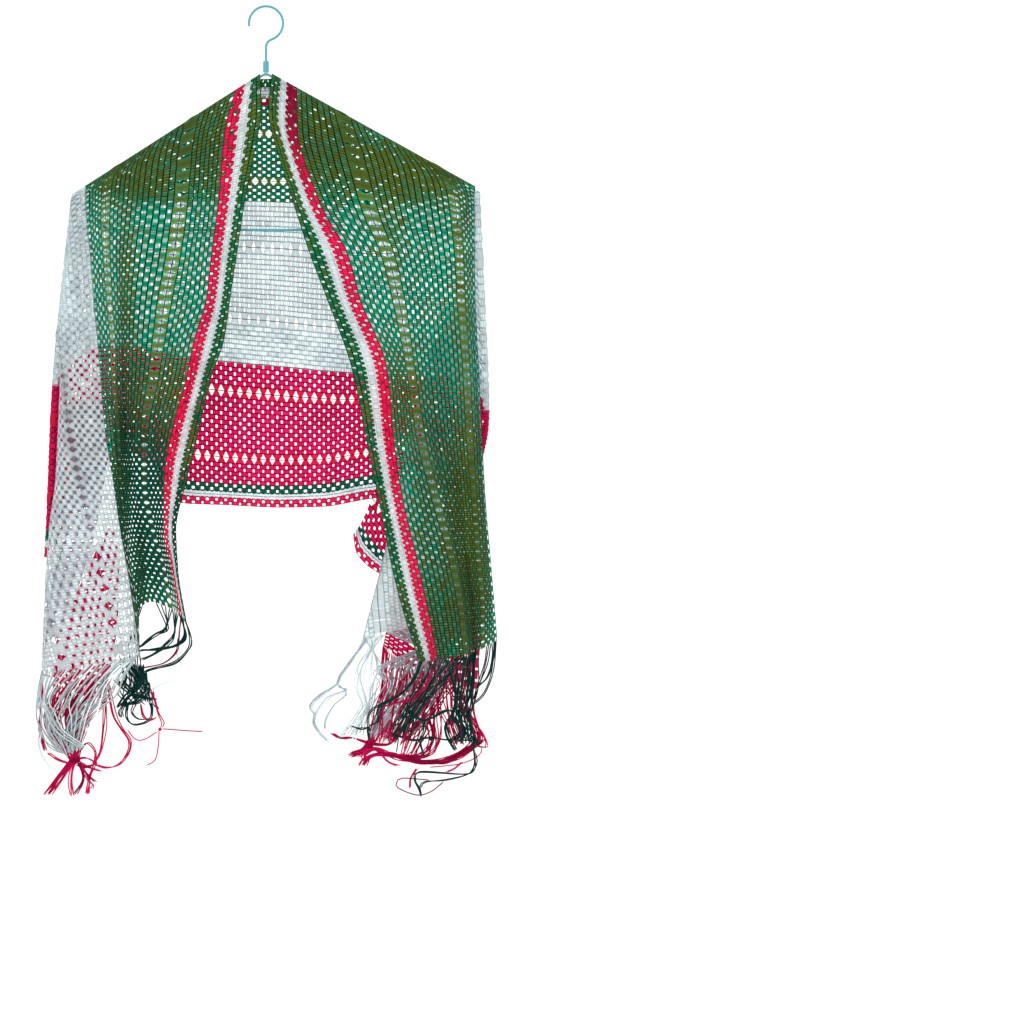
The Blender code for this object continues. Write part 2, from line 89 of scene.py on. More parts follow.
# The cloth's chart from the neck edge to the hem: the kind of row, its yarn and how many. A toothed band also gives
# the yarns before and after it, whose teeth reach into its outer rows, and how far they reach, as a share of a row.
CHART = """
cells border_green 2
toothed border_white 3 border_green border_crimson 0.72
cells border_crimson 2
cells green 7
open green 1
cells green 12
open green 1
cells green 5
cells white 8
open white 1
cells white 12
open white 1
cells white 8
cells crimson 5
open crimson 1
cells crimson 12
open crimson 1
cells crimson 5
cells hem_green 2
toothed hem_white 2 hem_green hem_crimson 0.34
cells hem_crimson 2
"""
BORDER, GREEN, WHITE, CRIMSON, HEM = 39.9, 208.05, 399.0, 555.75, 589.95  # v at the far side of each band
FRONT_V = (0, BORDER, 87.6, 129.6, 171.7, GREEN)  # v at the rails of the fronts, as far as the green goes
BACK_RIBS = (344.0, 399.0)  # v between which the back's white has no holes

# The yarns: the colour of a cell | at its ends, round the holes, with painted light: a painted highlight on the greens
# and painted shade on the whites and crimsons | of the lengthwise yarns | the share of a cell that is filled | how dark
# the painted shade in the grooves between its yarns is | and where it has open rows: the colour of their bundles | of
# the yarn through them | how open.
YARN_KEYS = ("cell", "edge", "line", "fill", "furrow_shade", "bundle", "middle", "open")
YARN_TABLE = """
border_green 14 100 50 | 8 140 92 | 2 34 26 | 0.84 | 0.7
border_white 232 240 241 | 214 226 229 | 206 216 219 | 1 | 0.4
border_crimson 250 26 84 | 222 12 70 | 186 4 58 | 0.8 | 0.5
green 4 138 90 | 8 228 176 | 0 34 34 | 0.62 | 0.8 | 134 138 6 | 4 18 30 | 1
white 216 233 234 | 182 186 194 | 200 214 217 | 0.82 | 0.35 | 206 222 224 | 150 146 160 | 0.55
crimson 232 10 92 | 206 4 76 | 136 0 52 | 0.79 | 0.55 | 236 20 66 | 76 0 34 | 0.85
hem_green 8 84 62 | 6 112 90 | 2 40 36 | 0.7 | 0.7
hem_white 226 238 240 | 208 222 226 | 200 214 219 | 1 | 0.4
hem_crimson 244 20 92 | 212 10 74 | 150 2 58 | 0.74 | 0.5
"""
# One cell of each kind: places along its half length | across its row | how long it is there | its height over the
# cloth there | how many yarns lie side by side in it.
FORM_KEYS = ("along", "across", "length", "lift", "yarns")
FORM_TABLE = """
cells -1 -0.6 0 0.6 1 | 0.04 0.24 0.76 0.96 | 1.14 1 1 1.14 | 0 0.25 0.25 0 | 4
toothed -1 0 1 | 0 0.25 0.75 1 | 1 1 1 1 | 0.1 0.4 0.4 0.1 | 3
open -1 -0.62 0 0.62 1 | 0 0.1 0.27 0.44 0.56 0.73 0.9 1 | 0.95 0.86 0.62 0.3 0.3 0.62 0.86 0.95
| 0.1 0.3 0.7 0.9 0.9 0.7 0.3 0.1 | 7
tooth -1 0 1 | 0 0.6 1 | 1.15 1 0.55 | 0.5 0.9 0.5 | 2
"""
OLIVE = (112, 124, 4)
SHADOW = (0, 62, 54)
CLOSED_SHADE = 0.36  # how much darker the green is where its holes close
# Patches where a yarn's holes close, where the green turns olive, and where painted shade darkens the green: the yarn,
# the patch's middle x and z and its radii, then how much it turns olive, how much painted shade it takes, and how much
# it closes.
PATCHES = """
green -150 -195 80 44 | 0.85 0.15 0.85
green -70 -160 70 74 | 0.8 0.2 0.85
green 60 -160 70 76 | 0.85 0.15 0.85
green 165 -198 90 44 | 0.95 0 0.85
green 150 -250 26 70 | 0.5 0 0.2
green 236 -320 12 200 | 0.5 0 0.3
green 160 -470 34 60 | 0.55 0.1 0.55
green 240 -640 34 170 | 0.85 0 0.85
green 204 -600 30 150 | 0.4 0.3 0.45
green 262 -620 17 190 | 0.35 0.2 0.8
green 212 -740 56 70 | 0.5 0.3 0.9
green -150 -475 38 70 | 0.5 0.2 0.65
green -112 -490 30 80 | 0.65 0 0.65
green -166 -340 12 130 | 0.6 0 0.5
green -171 -560 13 110 | 0.45 0.5 0.95
green -150 -680 9 70 | 0.45 0.5 0.95
green -134 -610 44 130 | 0 0.9 0.55
crimson -262 -560 20 150 | 0 0 1
crimson 268 -500 16 60 | 0 0 0.8
white -246 -300 16 90 | 0 0 0.8
white 257 -320 12 160 | 0 0 0.8
white 130 -690 70 130 | 0 0 0.85
white -230 -800 90 60 | 0 0 0.3
"""
PATCH_KEYS = ("olive", "dark", "closed")
BEHIND = 2.5  # y beyond which the green has no patches
# Painted shade: the right border's crimson is darker near the shoulder.
SHADED_CRIMSON = (140, 0, 50)
CRIMSON_SHADE_PATCH = (40, -110, 60, 75)

# The same sections as the frame's solids: each rail's x | y | z where it has its own, with a column for each section.
LEFT_FRONT = """
neck -7 -5 -24 -34 -42 -49 -65 -79 -94 -108 -106 -96 | 0 -10 -14 -16 -18 -20 -22 -22 -18 -4 2 2
| 0 -125 -231 -297 -351 -399 -447 -507 -567 -627 -675 -737
band -37 -48 -56 -64 -70 -84 -94 -110 -120 -121 -113 -103 | 0 -12 -18 -22 -26 -28 -30 -31 -30 -24 -16 -11
rib -89 -95 -101 -109 -119 -126 -133 -143 -144 -134 -121 -113 | 0 -12 -20 -26 -30 -33 -34 -33 -29 -24 -18 -14
dip -139 -148 -155 -162 -166 -167 -167 -166 -163 -158 -148 -137 | 0 -9 -11 -10 -9 -8 -8 -8 -8 -8 -8 -8
| 0 -187 -243 -299 -352 -400 -447 -507 -567 -625 -669 -713
rib2 -181 -190 -192 -190 -186 -182 -181 -176 -174 -168 -162 -152 | 0 -9 -15 -20 -23 -25 -25 -22 -17 -12 -10 -9
| 0 -212 -251 -300 -353 -401 -447 -507 -567 -627 -674 -727
seam -216 -216 -214 -209 -205 -200 -196 -191 -181 -172 -160 -149 | 0 -5 -10 -15 -20 -25 -30 -34 -38 -40 -41 -38
| 0 -226 -261 -303 -355 -402 -448 -507 -567 -628 -697 -776
mid -225 -227 -226 -225 -225 -225 -224 -223 -218 -212 -205 -199 | 0 -6 -12 -18 -24 -30 -35 -39 -42 -44 -45 -44
side -233 -235 -236 -239 -245 -247 -246 -248 -251 -259 -264 -268 | 0 -2 -4 -6 -8 -10 -12 -13 -14 -14 -14 -14
| 0 -237 -273 -305 -357 -403 -449 -507 -567 -629 -712 -799
"""
LEFT_TURN = (226, 228, 234, 242, 254, 265, 276, 290, 308, 330, 358, 396)  # v at the outer fold, in each section
RIGHT_FRONT = """
neck 7 3 32 53 74 104 121 136 150 165 185 | 0 -10 -14 -18 -22 -26 -30 -34 -37 -40 -42
| 0 -125 -231 -296 -351 -435 -519 -591 -663 -723 -785
band 37 38 67 99 114 146 154 165 182 195 207 | 0 -12 -18 -24 -28 -32 -36 -38 -40 -42 -44
rib 92 105 126 147 160 174 187 205 224 235 241 | 0 -12 -20 -26 -30 -34 -36 -36 -36 -36 -37
dip 149 165 178 190 198 207 216 227 238 247 250 | 0 -9 -13 -14 -13 -12 -10 -8 -7 -6 -6
| 0 -193 -255 -302 -354 -436 -519 -590 -662 -722 -774
rib2 205 224 230 233 235 241 245 250 255 260 260 | 0 -7 -12 -14 -15 -15 -15 -14 -13 -12 -12
| 0 -219 -263 -306 -356 -437 -519 -590 -661 -721 -769
side 251 250 250 250 251 255 259 263 269 274 277 | 0 -2 0 2 3 4 5 6 7 8 8
| 0 -231 -267 -308 -357 -438 -519 -590 -661 -720 -759
"""
# The back's rails: x at three of them, y at three and z at all four.
BACK = """
top_x -235 -206 -175 -142 -127 -100 -50 16 67 121 197 239 257
crimson_x -257 -209 -175 -142 -127 -100 -50 16 67 121 197 243 268
hem_x -267 -214 -175 -141 -126 -100 -50 16 67 121 195 236 252
white_z -228 -214 -229 -231 -231 -231 -231 -232 -235 -236 -231 -215 -220
crimson_z -453 -409 -405 -409 -413 -418 -424 -430 -435 -439 -442 -452 -483
hem_z -627 -555 -509 -515 -555 -567 -571 -574 -572 -562 -555 -557 -565
edge_z -660 -581 -533 -542 -583 -595 -597 -600 -599 -590 -581 -581 -589
white_y 5 4 8 10 10 11 14 22 18 12 8 4 3
crimson_y 2 22 26 26 26 25 26 28 28 30 31 29 15
edge_y 7 22 22 25 27 25 27 28 30 34 35 31 17
"""
BACK_TOP_ENDS = (1, 11)  # the back's sections between which it reaches up to the arms
BACK_BULGE = 0.08  # how far the back's green swells, as a share of its height
UNDER_CREST = 0.3  # how far the back's top edge lies under the crest of the arms
# The neck: how far its edge reaches to each side at its outer and inner rim, its lowest z, how deep its outer rim
# swings back, and how far its inner rim swings back, lies below the arms and sags.
NECK_REACH, NECK_INNER, NECK_MIDDLE = 37.0, 8.0, -121.0
NECK_DEPTH, NECK_SLACK, NECK_DROP, NECK_SAG = 20.0, 16.0, 1.6, 2.0
# Where the cloth crosses the arms: v at each distance from the hook.
CREST = {"left_x": (-216, -181, -139, -89, -37, -7), "right_x": (251, 205, 149, 92, 37, 7),
         "v": (GREEN, 171.7, 129.6, 87.6, BORDER, 0)}
LEFT_INNER_WHITE = """
turn -243 -246 -250 -257 -262 -264 | -5 -6 -6 -6 -6 -6 | -474 -545 -621 -687 -727 -762
mid -215 -214 -224 -238 -248 -255 | -4 -3 -3 -3 -3 -3
end -198 -192 -203 -222 -237 -247 | -3 -2 -2 -2 -2 -2 | -474 -545 -621 -687 -727 -755
"""
LEFT_INNER_CRIMSON = """
start -194 -208 -225 -240 -255 -258 | 3 2 2 2 2 2 | -625 -661 -697 -729 -775 -805
mid -189 -190 -199 -208 -218 -224 | 6 8 9 10 10 10 | -625 -661 -697 -736 -782 -824
end -184 -176 -177 -178 -183 -190 | 5 4 4 5 5 5 | -625 -661 -697 -732 -772 -806
"""
RIGHT_INNER_WHITE = """
turn 250 256 259 263 267 271 274 | 9 10 12 13 14 14 14 | -357 -438 -519 -590 -661 -720 -757
mid 234 226 217 210 205 199 197 | 11 12 12 12 12 12 12 | -357 -438 -519 -590 -661 -718 -744
end 209 191 170 157 140 125 115 | 9 9 9 9 9 9 9 | -357 -438 -519 -590 -661 -720 -760
"""
RIGHT_INNER_CRIMSON = """
start 151 149 144 140 | 21 20 20 20 | -669 -711 -747 -766
mid 198 198 196 193 | 26 26 26 26 | -669 -711 -747 -806
end 254 257 258 253 | 21 20 19 19 | -669 -711 -747 -819
"""
RIGHT_FLAP = """
top 132 143 154 163 | 23 18 17 17 | -575 -587 -605 -627
hem 113 120 132 146 | 23 18 17 17 | -619 -632 -646 -661
edge 104 107 120 138 | 22 17 16 16 | -632 -652 -669 -681
"""
# How far each tapering fold reaches from the colour change at its edge, in v, in each section
LEFT_WHITE_REACH = (45, 54, 47, 35, 25, 17)
LEFT_CRIMSON_REACH = (12, 34, 50, 64, 74, 70)
RIGHT_WHITE_REACH = (41, 66, 90, 107, 128, 147, 160)
LEFT_WHITE_FROM, LEFT_CRIMSON_TO, RIGHT_WHITE_TO, RIGHT_CRIMSON_TO = 345, 480, 375, 506  # and v where its rows end
RIGHT_CRIMSON_V = (WHITE, 452, 505)  # v at the rails
FLAP_V, FLAP_FROM = (505, CRIMSON, HEM), 504

# Soft creases: each runs from one u to another and from one v to another, with its own width and height.
LEFT_CREASES = (
    (60, 560, 196, 186, 7, 3),
    (180, 620, 60, 76, 6, -2),
    (90, 420, 150, 144, 7, 2.2),
    (300, 690, 110, 100, 6, 2.4),
    (250, 700, 232, 290, 9, -2.2),
    (430, 720, 250, 340, 8, 2),
)
RIGHT_CREASES = (
    (60, 470, 96, 70, 8, 2.6),
    (200, 690, 118, 108, 6, -2.4),
    (90, 640, 186, 190, 7, 2.4),
    (330, 720, 148, 140, 6, 2),
)
BACK_CREASES = (
    (20, 250, 300, 330, 12, 2.5),
    (160, 420, 260, 236, 10, -2),
    (120, 300, 372, 388, 9, 2.2),
    (240, 480, 450, 470, 10, -2.4),
    (60, 260, 500, 470, 10, 2.2),
)

# Painted shade: the grey yarn is the white yarn darkened, for white strands that hang in shade behind others.
FRINGE_YARNS = {"white": (208, 222, 226), "pale": (228, 240, 242), "grey": (196, 198, 208), "crimson": (222, 6, 98),
                "deep": (160, 0, 66), "dark": (0, 64, 60)}
STRAND = 0.8  # radius of a strand
STRAND_END = 0.02  # and at its two ends
STRAND_STEP = 3.5  # length of one facet along a strand
STRAND_SIDES = 5
STRAND_ROOT = 2.0  # how far inside the cloth's end the strands start
STRAY, STRAY_WIDE, STRAY_MOST = 0.4, 0.16, 2.2  # how far a strand strays, how that grows with the sheaf, and its limit
# The fringes, a row for each sheaf of strands: its yarn and count | x of its middle at each gate it passes, downwards
# | z there | half its width there | y at the first and last gate | where on the cloth's end it starts, in v.
# The knots: yarn and turns | x, y and z | radius.
LEFT_WHITE_FRINGE = """
white 11 | -262 -262 -260 -250 -238 | -823 -844 -863 -880 -895 | 9 9 10 12 5 | -36 -12 | 394 322
white 9 | -222 -238 -248 -244 -236 | -815 -840 -862 -880 -896 | 16 14 12 12 5 | -40 -12 | 324 264
white 12 | -180 -190 -206 -222 -234 -236 | -800 -822 -838 -855 -874 -894 | 15 14 13 12 12 5 | -40 -12 | 264 212
pale 5 | -200 -215 -218 -224 -228 | -808 -832 -852 -872 -892 | 20 18 14 8 4 | -43 -14 | 300 220
pale 6 | -262 -258 -246 -228 -216 | -826 -846 -866 -880 -888 | 5 5 4 4 3 | -40 -16 | 390 340
pale 2 | -268 -270 -264 -252 | -862 -882 -900 -915 | 1 | -20 -14
"""
LEFT_CRIMSON_FRINGE = """
crimson 18 | -196 -208 -222 -228 -229 | -798 -822 -850 -876 -905 | 13 13 11 7 3 | -33 -9
crimson 16 | -236 -250 -252 -241 -230 | -812 -835 -862 -885 -905 | 15 13 12 7 3 | -32 -9
deep 8 | -214 -230 -238 -234 -229 | -806 -830 -856 -880 -905 | 20 16 12 7 3 | -30 -9
crimson 14 | -246 -256 -246 -230 -229 | -838 -862 -882 -898 -907 | 9 8 9 4 3 | 6 -8 | 402 438
crimson 16 | -206 -222 -226 -228 -229 | -832 -850 -872 -893 -907 | 13 13 9 4 3 | 6 -8 | 436 468
deep 12 | -232 -226 -228 -229 | -848 -868 -886 -907 | 8 6 4 3 | 4 -8 | 420 452
crimson 12 | -229 -246 -262 | -900 -924 -944 | 3 4 6 | -8 -6
crimson 4 | -229 -234 -232 | -900 -926 -946 | 2 | -8 -6
deep 3 | -226 -219 -229 | -900 -924 -945 | 1.6 | -8 -4
crimson 4 | -205 -211 -214 | -906 -924 -946 | 1.4 | -6 -4
deep 2 | -226 -214 -203 | -902 -920 -930 | 1 | -8 -4
crimson 3 | -226 -213 -197 | -902 -911 -917 | 1.2 | -8 -4
crimson 2 | -222 -214 -207 -211 | -905 -925 -934 -938 | 1 | -8 -4
crimson 3 | -262 -251 -238 -229 | -893 -901 -906 -906 | 1.5 | -10 -8
crimson 4 | -228 -216 -205 | -902 -900 -905 | 1 | -8 -6
deep 3 | -228 -216 -205 | -908 -911 -907 | 1 | -8 -6
crimson 3 | -193 -194 -198 -205 | -846 -866 -891 -906 | 1.5 | 4 -6 | 464 466
crimson 3 | -183 -173 -164 -165 -177 -192 -205 | -846 -866 -879 -893 -908 -912 -907 | 1.8 | 4 -6 | 467 469
crimson 2 | -222 -214 -205 -206 | -893 -882 -893 -905 | 0.8 | -8 -6
crimson 3 | -268 -268 -270 -270 -263 | -802 -822 -846 -868 -893 | 1.5 | -2 -10 | 399 400
crimson 2 | -150 -141 -133 -129 -123 -126 | -805 -814 -831 -846 -858 -865 | 0.8 | -8 -4
crimson 3 | -150 -147 -140 -130 | -834 -849 -855 -851 | 1 | -10 -4
crimson 1 | -126 -100 -74 | -865 -868 -869 | 0 | -4 0
crimson 1 | -128 -129 -133 -144 | -866 -886 -903 -910 | 0 | -4 0
crimson 1 | -166 -156 -144 -129 | -866 -878 -878 -868 | 0 | -4 0
"""
LEFT_CRIMSON_KNOTS = """
deep 4 | -229 -8 -903 | 5.5
crimson 3 | -205 -6 -906 | 2.6
crimson 2 | -127 -4 -866 | 1.6
deep 2 | -213 -5 -922 | 1.6
"""
LEFT_GREEN_FRINGE = """
dark 3 | -90 -95 -110 -141 -143 -142 | -759 -773 -787 -795 -800 -813 | 1.4 | -4 -16 | 2 12
dark 5 | -97 -107 -126 -150 | -754 -765 -769 -771 | 1.8 | -6 -20 | 16 44
dark 4 | -110 -118 -133 -150 | -752 -764 -775 -782 | 1.6 | -8 -22 | 44 80
dark 5 | -119 -130 -140 -150 | -744 -751 -758 -768 | 2 | -8 -22 | 80 120
deep 2 | -105 -107 -121 -147 | -759 -773 -786 -792 | 0.8 | -6 -18 | 24 30
pale 1 | -106 -101 -107 -126 -138 | -773 -790 -805 -813 -819 | 0 | -4 0 | 26 26
dark 8 | -160 -161 -166 -158 | -788 -806 -822 -836 | 9 9 9 12 | -20 -6 | 150 206
dark 8 | -176 -165 -148 -132 | -806 -818 -828 -830 | 5 5 4 3 | -12 -6
dark 8 | -148 -150 -165 -176 | -788 -812 -828 -840 | 3 4 6 4 | -16 -6
dark 7 | -140 -143 -158 -174 | -808 -822 -834 -836 | 2 3 4 3 | -10 -4
dark 7 | -170 -158 -146 -140 | -780 -800 -818 -834 | 7 6 4 3 | -16 -8
grey 12 | -160 -156 -152 | -786 -806 -830 | 7 8 9 | -4 2
dark 3 | -164 -167 -158 -140 -136 -140 | -832 -851 -860 -855 -841 -832 | 1.4 | -8 -2
dark 2 | -156 -160 -152 -138 | -834 -846 -854 -853 | 1 | -8 -2
dark 4 | -168 -175 -172 | -834 -845 -853 | 1.6 | -8 -2
dark 2 | -136 -134 -128 | -818 -835 -843 | 0.8 | -6 0
"""
RIGHT_WHITE_FRINGE = """
pale 11 | 124 120 121 112 101 | -790 -815 -836 -855 -876 | 14 12 6 8 14 | 8 6 | 340 366
white 4 | 102 89 85 65 53 58 57 65 74 | -784 -802 -812 -826 -839 -849 -860 -872 -881 | 1.4 | 8 4 | 358 366
white 2 | 103 90 87 97 76 62 58 63 | -784 -802 -815 -819 -828 -843 -856 -869 | 0.8 | 8 4 | 362 364
white 2 | 86 96 81 71 71 | -812 -824 -837 -856 -868 | 0.8 | 8 4
grey 40 | 182 178 165 158 148 | -790 -811 -837 -859 -877 | 44 40 38 29 22 | 10 8 | 236 338
white 12 | 190 172 150 134 | -812 -832 -850 -874 | 16 14 11 8 | 6 2 | 270 320
"""
RIGHT_CRIMSON_FRINGE = """
crimson 18 | 186 180 167 157 147 | -796 -818 -840 -862 -884 | 40 38 34 26 18 | 4 1
deep 9 | 196 190 178 168 156 | -798 -820 -842 -864 -880 | 34 30 26 20 16 | 3 0
crimson 12 | 222 222 226 234 | -806 -832 -858 -886 | 20 16 12 10 | -12 3
crimson 16 | 151 143 135 127 118 104 | -815 -840 -862 -880 -890 -896 | 13 11 8 5 4 7 | 20 8 | 402 430
crimson 12 | 194 198 203 196 178 150 128 105 | -838 -856 -876 -893 -901 -897 -890 -899 | 14 10 6 7 7 6 5 7 | 20 4
| 430 462
crimson 14 | 242 251 255 241 218 190 165 142 122 114 | -845 -865 -879 -892 -903 -906 -901 -896 -900 -910
| 8 6 5 7 8 7 7 6 5 4 | 20 4 | 466 504
deep 8 | 258 240 214 186 160 | -879 -893 -906 -905 -898 | 3.5 | 12 8
crimson 5 | 156 145 124 104 90 78 | -876 -885 -884 -877 -877 -871 | 1.8 | 14 8
crimson 4 | 139 140 135 128 126 118 | -789 -816 -843 -860 -880 -891 | 1.6 | 16 8 | 399 401
crimson 1 | 146 152 148 | -784 -797 -813 | 0 | 18 12 | 403 403
crimson 2 | 202 192 176 144 137 140 153 | -784 -814 -829 -837 -850 -863 -876 | 0.9 | -30 0
crimson 12 | 192 188 184 176 170 | -832 -850 -867 -885 -899 | 20 18 14 11 8 | 20 6 | 420 470
crimson 2 | 182 174 173 | -912 -925 -938 | 0.7 | 6 6
deep 1 | 197 164 157 158 181 198 214 | -927 -925 -930 -937 -944 -942 -929 | 0 | 4 8
crimson 2 | 246 258 265 262 250 | -858 -869 -884 -888 -885 | 0.9 | 10 6
crimson 1 | 259 256 234 195 | -887 -898 -908 -912 | 0 | 8 4
crimson 3 | 137 146 160 | -895 -905 -911 | 1.2 | 6 4
crimson 3 | 128 117 121 | -890 -899 -909 | 1.2 | 6 4
crimson 2 | 236 226 216 | -905 -913 -918 | 0.9 | 6 4
"""
RIGHT_CRIMSON_KNOTS = """
deep 3 | 127 7 -890 | 2.6
crimson 3 | 256 12 -880 | 2.2
"""
RIGHT_GREEN_FRINGE = """
dark 26 | 240 237 234 240 237 | -811 -837 -850 -869 -882 | 14 11 11 10 18 | -20 2 | 52 150
dark 15 | 209 189 176 168 160 | -800 -824 -843 -860 -873 | 16 12 9 11 14 | -26 0 | 26 92
dark 3 | 182 174 160 144 136 134 123 124 | -797 -811 -824 -835 -842 -856 -863 -880 | 1.2 | -30 -4 | 2 8
dark 2 | 176 160 131 123 123 | -810 -824 -840 -850 -869 | 0.9 | -28 -4
dark 2 | 126 112 102 | -864 -866 -862 | 0.8 | -4 0
dark 5 | 144 156 177 197 218 257 | -876 -874 -880 -876 -879 -880 | 1.4 | 0 0
dark 4 | 172 190 210 219 232 | -845 -854 -845 -843 -846 | 1.4 | -14 -10
dark 3 | 272 266 253 | -779 -802 -816 | 1.4 | 2 -8 | 196 206
dark 3 | 264 256 250 | -787 -811 -830 | 1.4 | -6 -10 | 184 194
dark 2 | 272 262 248 | -795 -822 -836 | 1 | 4 -6 | 203 207
dark 3 | 248 251 248 237 185 178 184 186 | -880 -904 -915 -920 -917 -927 -938 -948 | 0.8 | 0 2
dark 2 | 251 252 243 216 190 185 | -892 -908 -920 -927 -930 -938 | 0.7 | -2 2
dark 3 | 189 190 185 190 | -853 -867 -880 -902 | 1.2 | -10 0
dark 1 | 159 157 | -874 -895 | 0 | 0 2
dark 6 | 226 218 217 228 | -846 -858 -872 -892 | 1.8 | -8 2
"""
RIGHT_GREEN_KNOTS = """
dark 3 | 156 0 -875 | 2.2
dark 3 | 198 0 -877 | 3
dark 3 | 173 -13 -845 | 2.2
dark 3 | 222 0 -880 | 2.4
dark 3 | 252 0 -881 | 2.8
"""


def read_rows(text):
    """A table's rows: the first word of each, then its parts, each one number or a list. A row may go on at a bar."""
    rows = []
    for line in text.replace("\n|", " |").strip().splitlines():
        name, numbers = line.split(maxsplit=1)
        parts = [[float(word) for word in part.split()] for part in numbers.split("|")]
        rows.append((name, *(part if len(part) > 1 else part[0] for part in parts)))
    return rows


def named_rows(text, keys):
    return {name: dict(zip(keys, parts)) for name, *parts in read_rows(text)}


YARNS = named_rows(YARN_TABLE, YARN_KEYS)
FORMS = named_rows(FORM_TABLE, FORM_KEYS)
PATCH_ROWS = read_rows(PATCHES)


def smooth(knots, values, at):
    """A curve through the values at the knots, with no overshoot, read at each number of at."""
    knots = np.asarray(knots, float)
    values = np.asarray(values, float)
    at = np.clip(np.asarray(at, float), knots[0], knots[-1])
    step = np.diff(knots)
    slope = np.diff(values, axis=0) / step.reshape(-1, *[1] * (values.ndim - 1))
    tangent = np.zeros_like(values)
    tangent[0], tangent[-1] = slope[0], slope[-1]
    same_way = slope[:-1] * slope[1:] > 0
    with np.errstate(divide="ignore", invalid="ignore"):
        harmonic = 2 * slope[:-1] * slope[1:] / (slope[:-1] + slope[1:])
    tangent[1:-1] = np.where(same_way, harmonic, 0.0)
    index = np.clip(np.searchsorted(knots, at, side="right") - 1, 0, len(knots) - 2)
    shape = (-1, *[1] * (values.ndim - 1))
    width = step[index].reshape(shape)
    part = ((at - knots[index]) / step[index]).reshape(shape)
    near, far = values[index], values[index + 1]
    return (
        near * (1 + 2 * part) * (1 - part) ** 2
        + tangent[index] * width * part * (1 - part) ** 2
        + far * part**2 * (3 - 2 * part)
        + tangent[index + 1] * width * part**2 * (part - 1)
    )


def rails_of(text):
    """The table's rails as an array [section, rail, xyz]. The rails that give no z lie between the ones that do."""
    rails = read_rows(text)
    given = [place for place, rail in enumerate(rails) if len(rail) > 3]
    x, y = (np.array([rail[way] for rail in rails]).T for way in (1, 2))
    z_given = np.array([rails[place][3] for place in given]).T
    z = np.array([np.interp(range(len(rails)), given, section) for section in z_given])
    return np.stack([x, y, z], axis=2)


def arm_height(x):
    return HANGER_APEX - np.where(x < 0, LEFT_SLOPE * -x, RIGHT_SLOPE * x)


def over_arm(rails):
    """Puts the half turn over the arm before a front's rows, in place of its first row."""
    x = rails[0, :, 0]
    rise = OVER_ARM * math.hypot(1, LEFT_SLOPE if x.mean() < 0 else RIGHT_SLOPE)
    turned = []
    for step in range(ARM_STEPS + 1):
        angle = math.pi * (0.5 - step / ARM_STEPS)
        depth = np.full(len(x), OVER_ARM * math.sin(angle))
        turned.append(np.stack([x, depth, arm_height(x) + rise * math.cos(angle)], axis=1))
    return np.concatenate([np.array(turned), rails[1:]])


def unit(vectors):
    return vectors / np.maximum(np.linalg.norm(vectors, axis=-1, keepdims=True), 1e-9)


class Stretch:
    """A stretch of cloth. at() gives its points and outward normals at u and v."""

    STEP_U, STEP_V = 2.0, 2.0

    def __init__(self, rails, across, outward, creases=(), middle=None):
        rows, count = rails.shape[:2]
        across = np.broadcast_to(np.asarray(across, float), (rows, count))
        fine = np.linspace(0, rows - 1, (rows - 1) * 12 + 1)
        middle = count // 2 if middle is None else middle
        line = smooth(range(rows), rails[:, middle], fine)
        run = np.concatenate([[0], np.cumsum(np.linalg.norm(np.diff(line, axis=0), axis=1))])
        self.length = run[-1]
        self.u = np.linspace(0, self.length, max(3, int(self.length / self.STEP_U)))
        along = np.interp(self.u, run, fine)
        points = smooth(range(rows), rails, along)
        places = smooth(range(rows), across, along)
        self.low, self.high = places[:, 0], places[:, -1]
        self.v = np.linspace(self.low.min(), self.high.max(), max(3, int(np.ptp(across) / self.STEP_V)))
        table = np.zeros((len(self.u), len(self.v), 3))
        for row in range(len(self.u)):
            table[row] = smooth(places[row], points[row], self.v)
        # beyond the last rail the table stays level, and cells there are left out
        normal = unit(np.cross(np.gradient(table, axis=0), np.gradient(table, axis=1) + 1e-6))
        if (normal * np.array(outward)).sum(axis=2).mean() < 0:
            normal = -normal
        table = table + normal * self.crease(creases)[..., None]
        self.table, self.normal = table, normal

    def crease(self, creases):
        """The height that soft ridges and troughs add at each u and v."""
        u, v = np.meshgrid(self.u, self.v, indexing="ij")
        lift = np.zeros_like(u)
        for u0, u1, v0, v1, width, height in creases:
            part = np.clip((u - u0) / (u1 - u0), 0, 1)
            centre = v0 + (v1 - v0) * part
            lift += height * np.sin(np.pi * part) * np.exp(-(((v - centre) / width) ** 2))
        return lift

    def at(self, u, v, lift=0.0):
        a = np.clip(np.interp(u, self.u, range(len(self.u))), 0, len(self.u) - 1.001)
        b = np.clip(np.interp(v, self.v, range(len(self.v))), 0, len(self.v) - 1.001)
        i, j = a.astype(int), b.astype(int)
        p, q = (a - i)[..., None], (b - j)[..., None]

        def read(table):
            near = table[i, j] * (1 - q) + table[i, j + 1] * q
            far = table[i + 1, j] * (1 - q) + table[i + 1, j + 1] * q
            return near * (1 - p) + far * p

        return read(self.table) + read(self.normal) * np.asarray(lift)[..., None]

    def limits(self, u):
        """The cloth's first and last v at u."""
        return np.interp(u, self.u, self.low), np.interp(u, self.u, self.high)

    def inside(self, u, v):
        low, high = self.limits(u)
        return (v >= low - 0.1) & (v <= high + 0.1)


def linear(colour):
    c = np.asarray(colour, float) / 255
    return np.where(c <= 0.04045, c / 12.92, ((c + 0.055) / 1.055) ** 2.4)


def blend(first, second, share):
    return first * (1 - share) + second * share


def far_from(places, x, z, wide, tall):
    """How far each place [n, 3] is from a patch's middle, squared, with its radius as one."""
    return ((places[:, 0] - x) / wide) ** 2 + ((places[:, 2] - z) / tall) ** 2


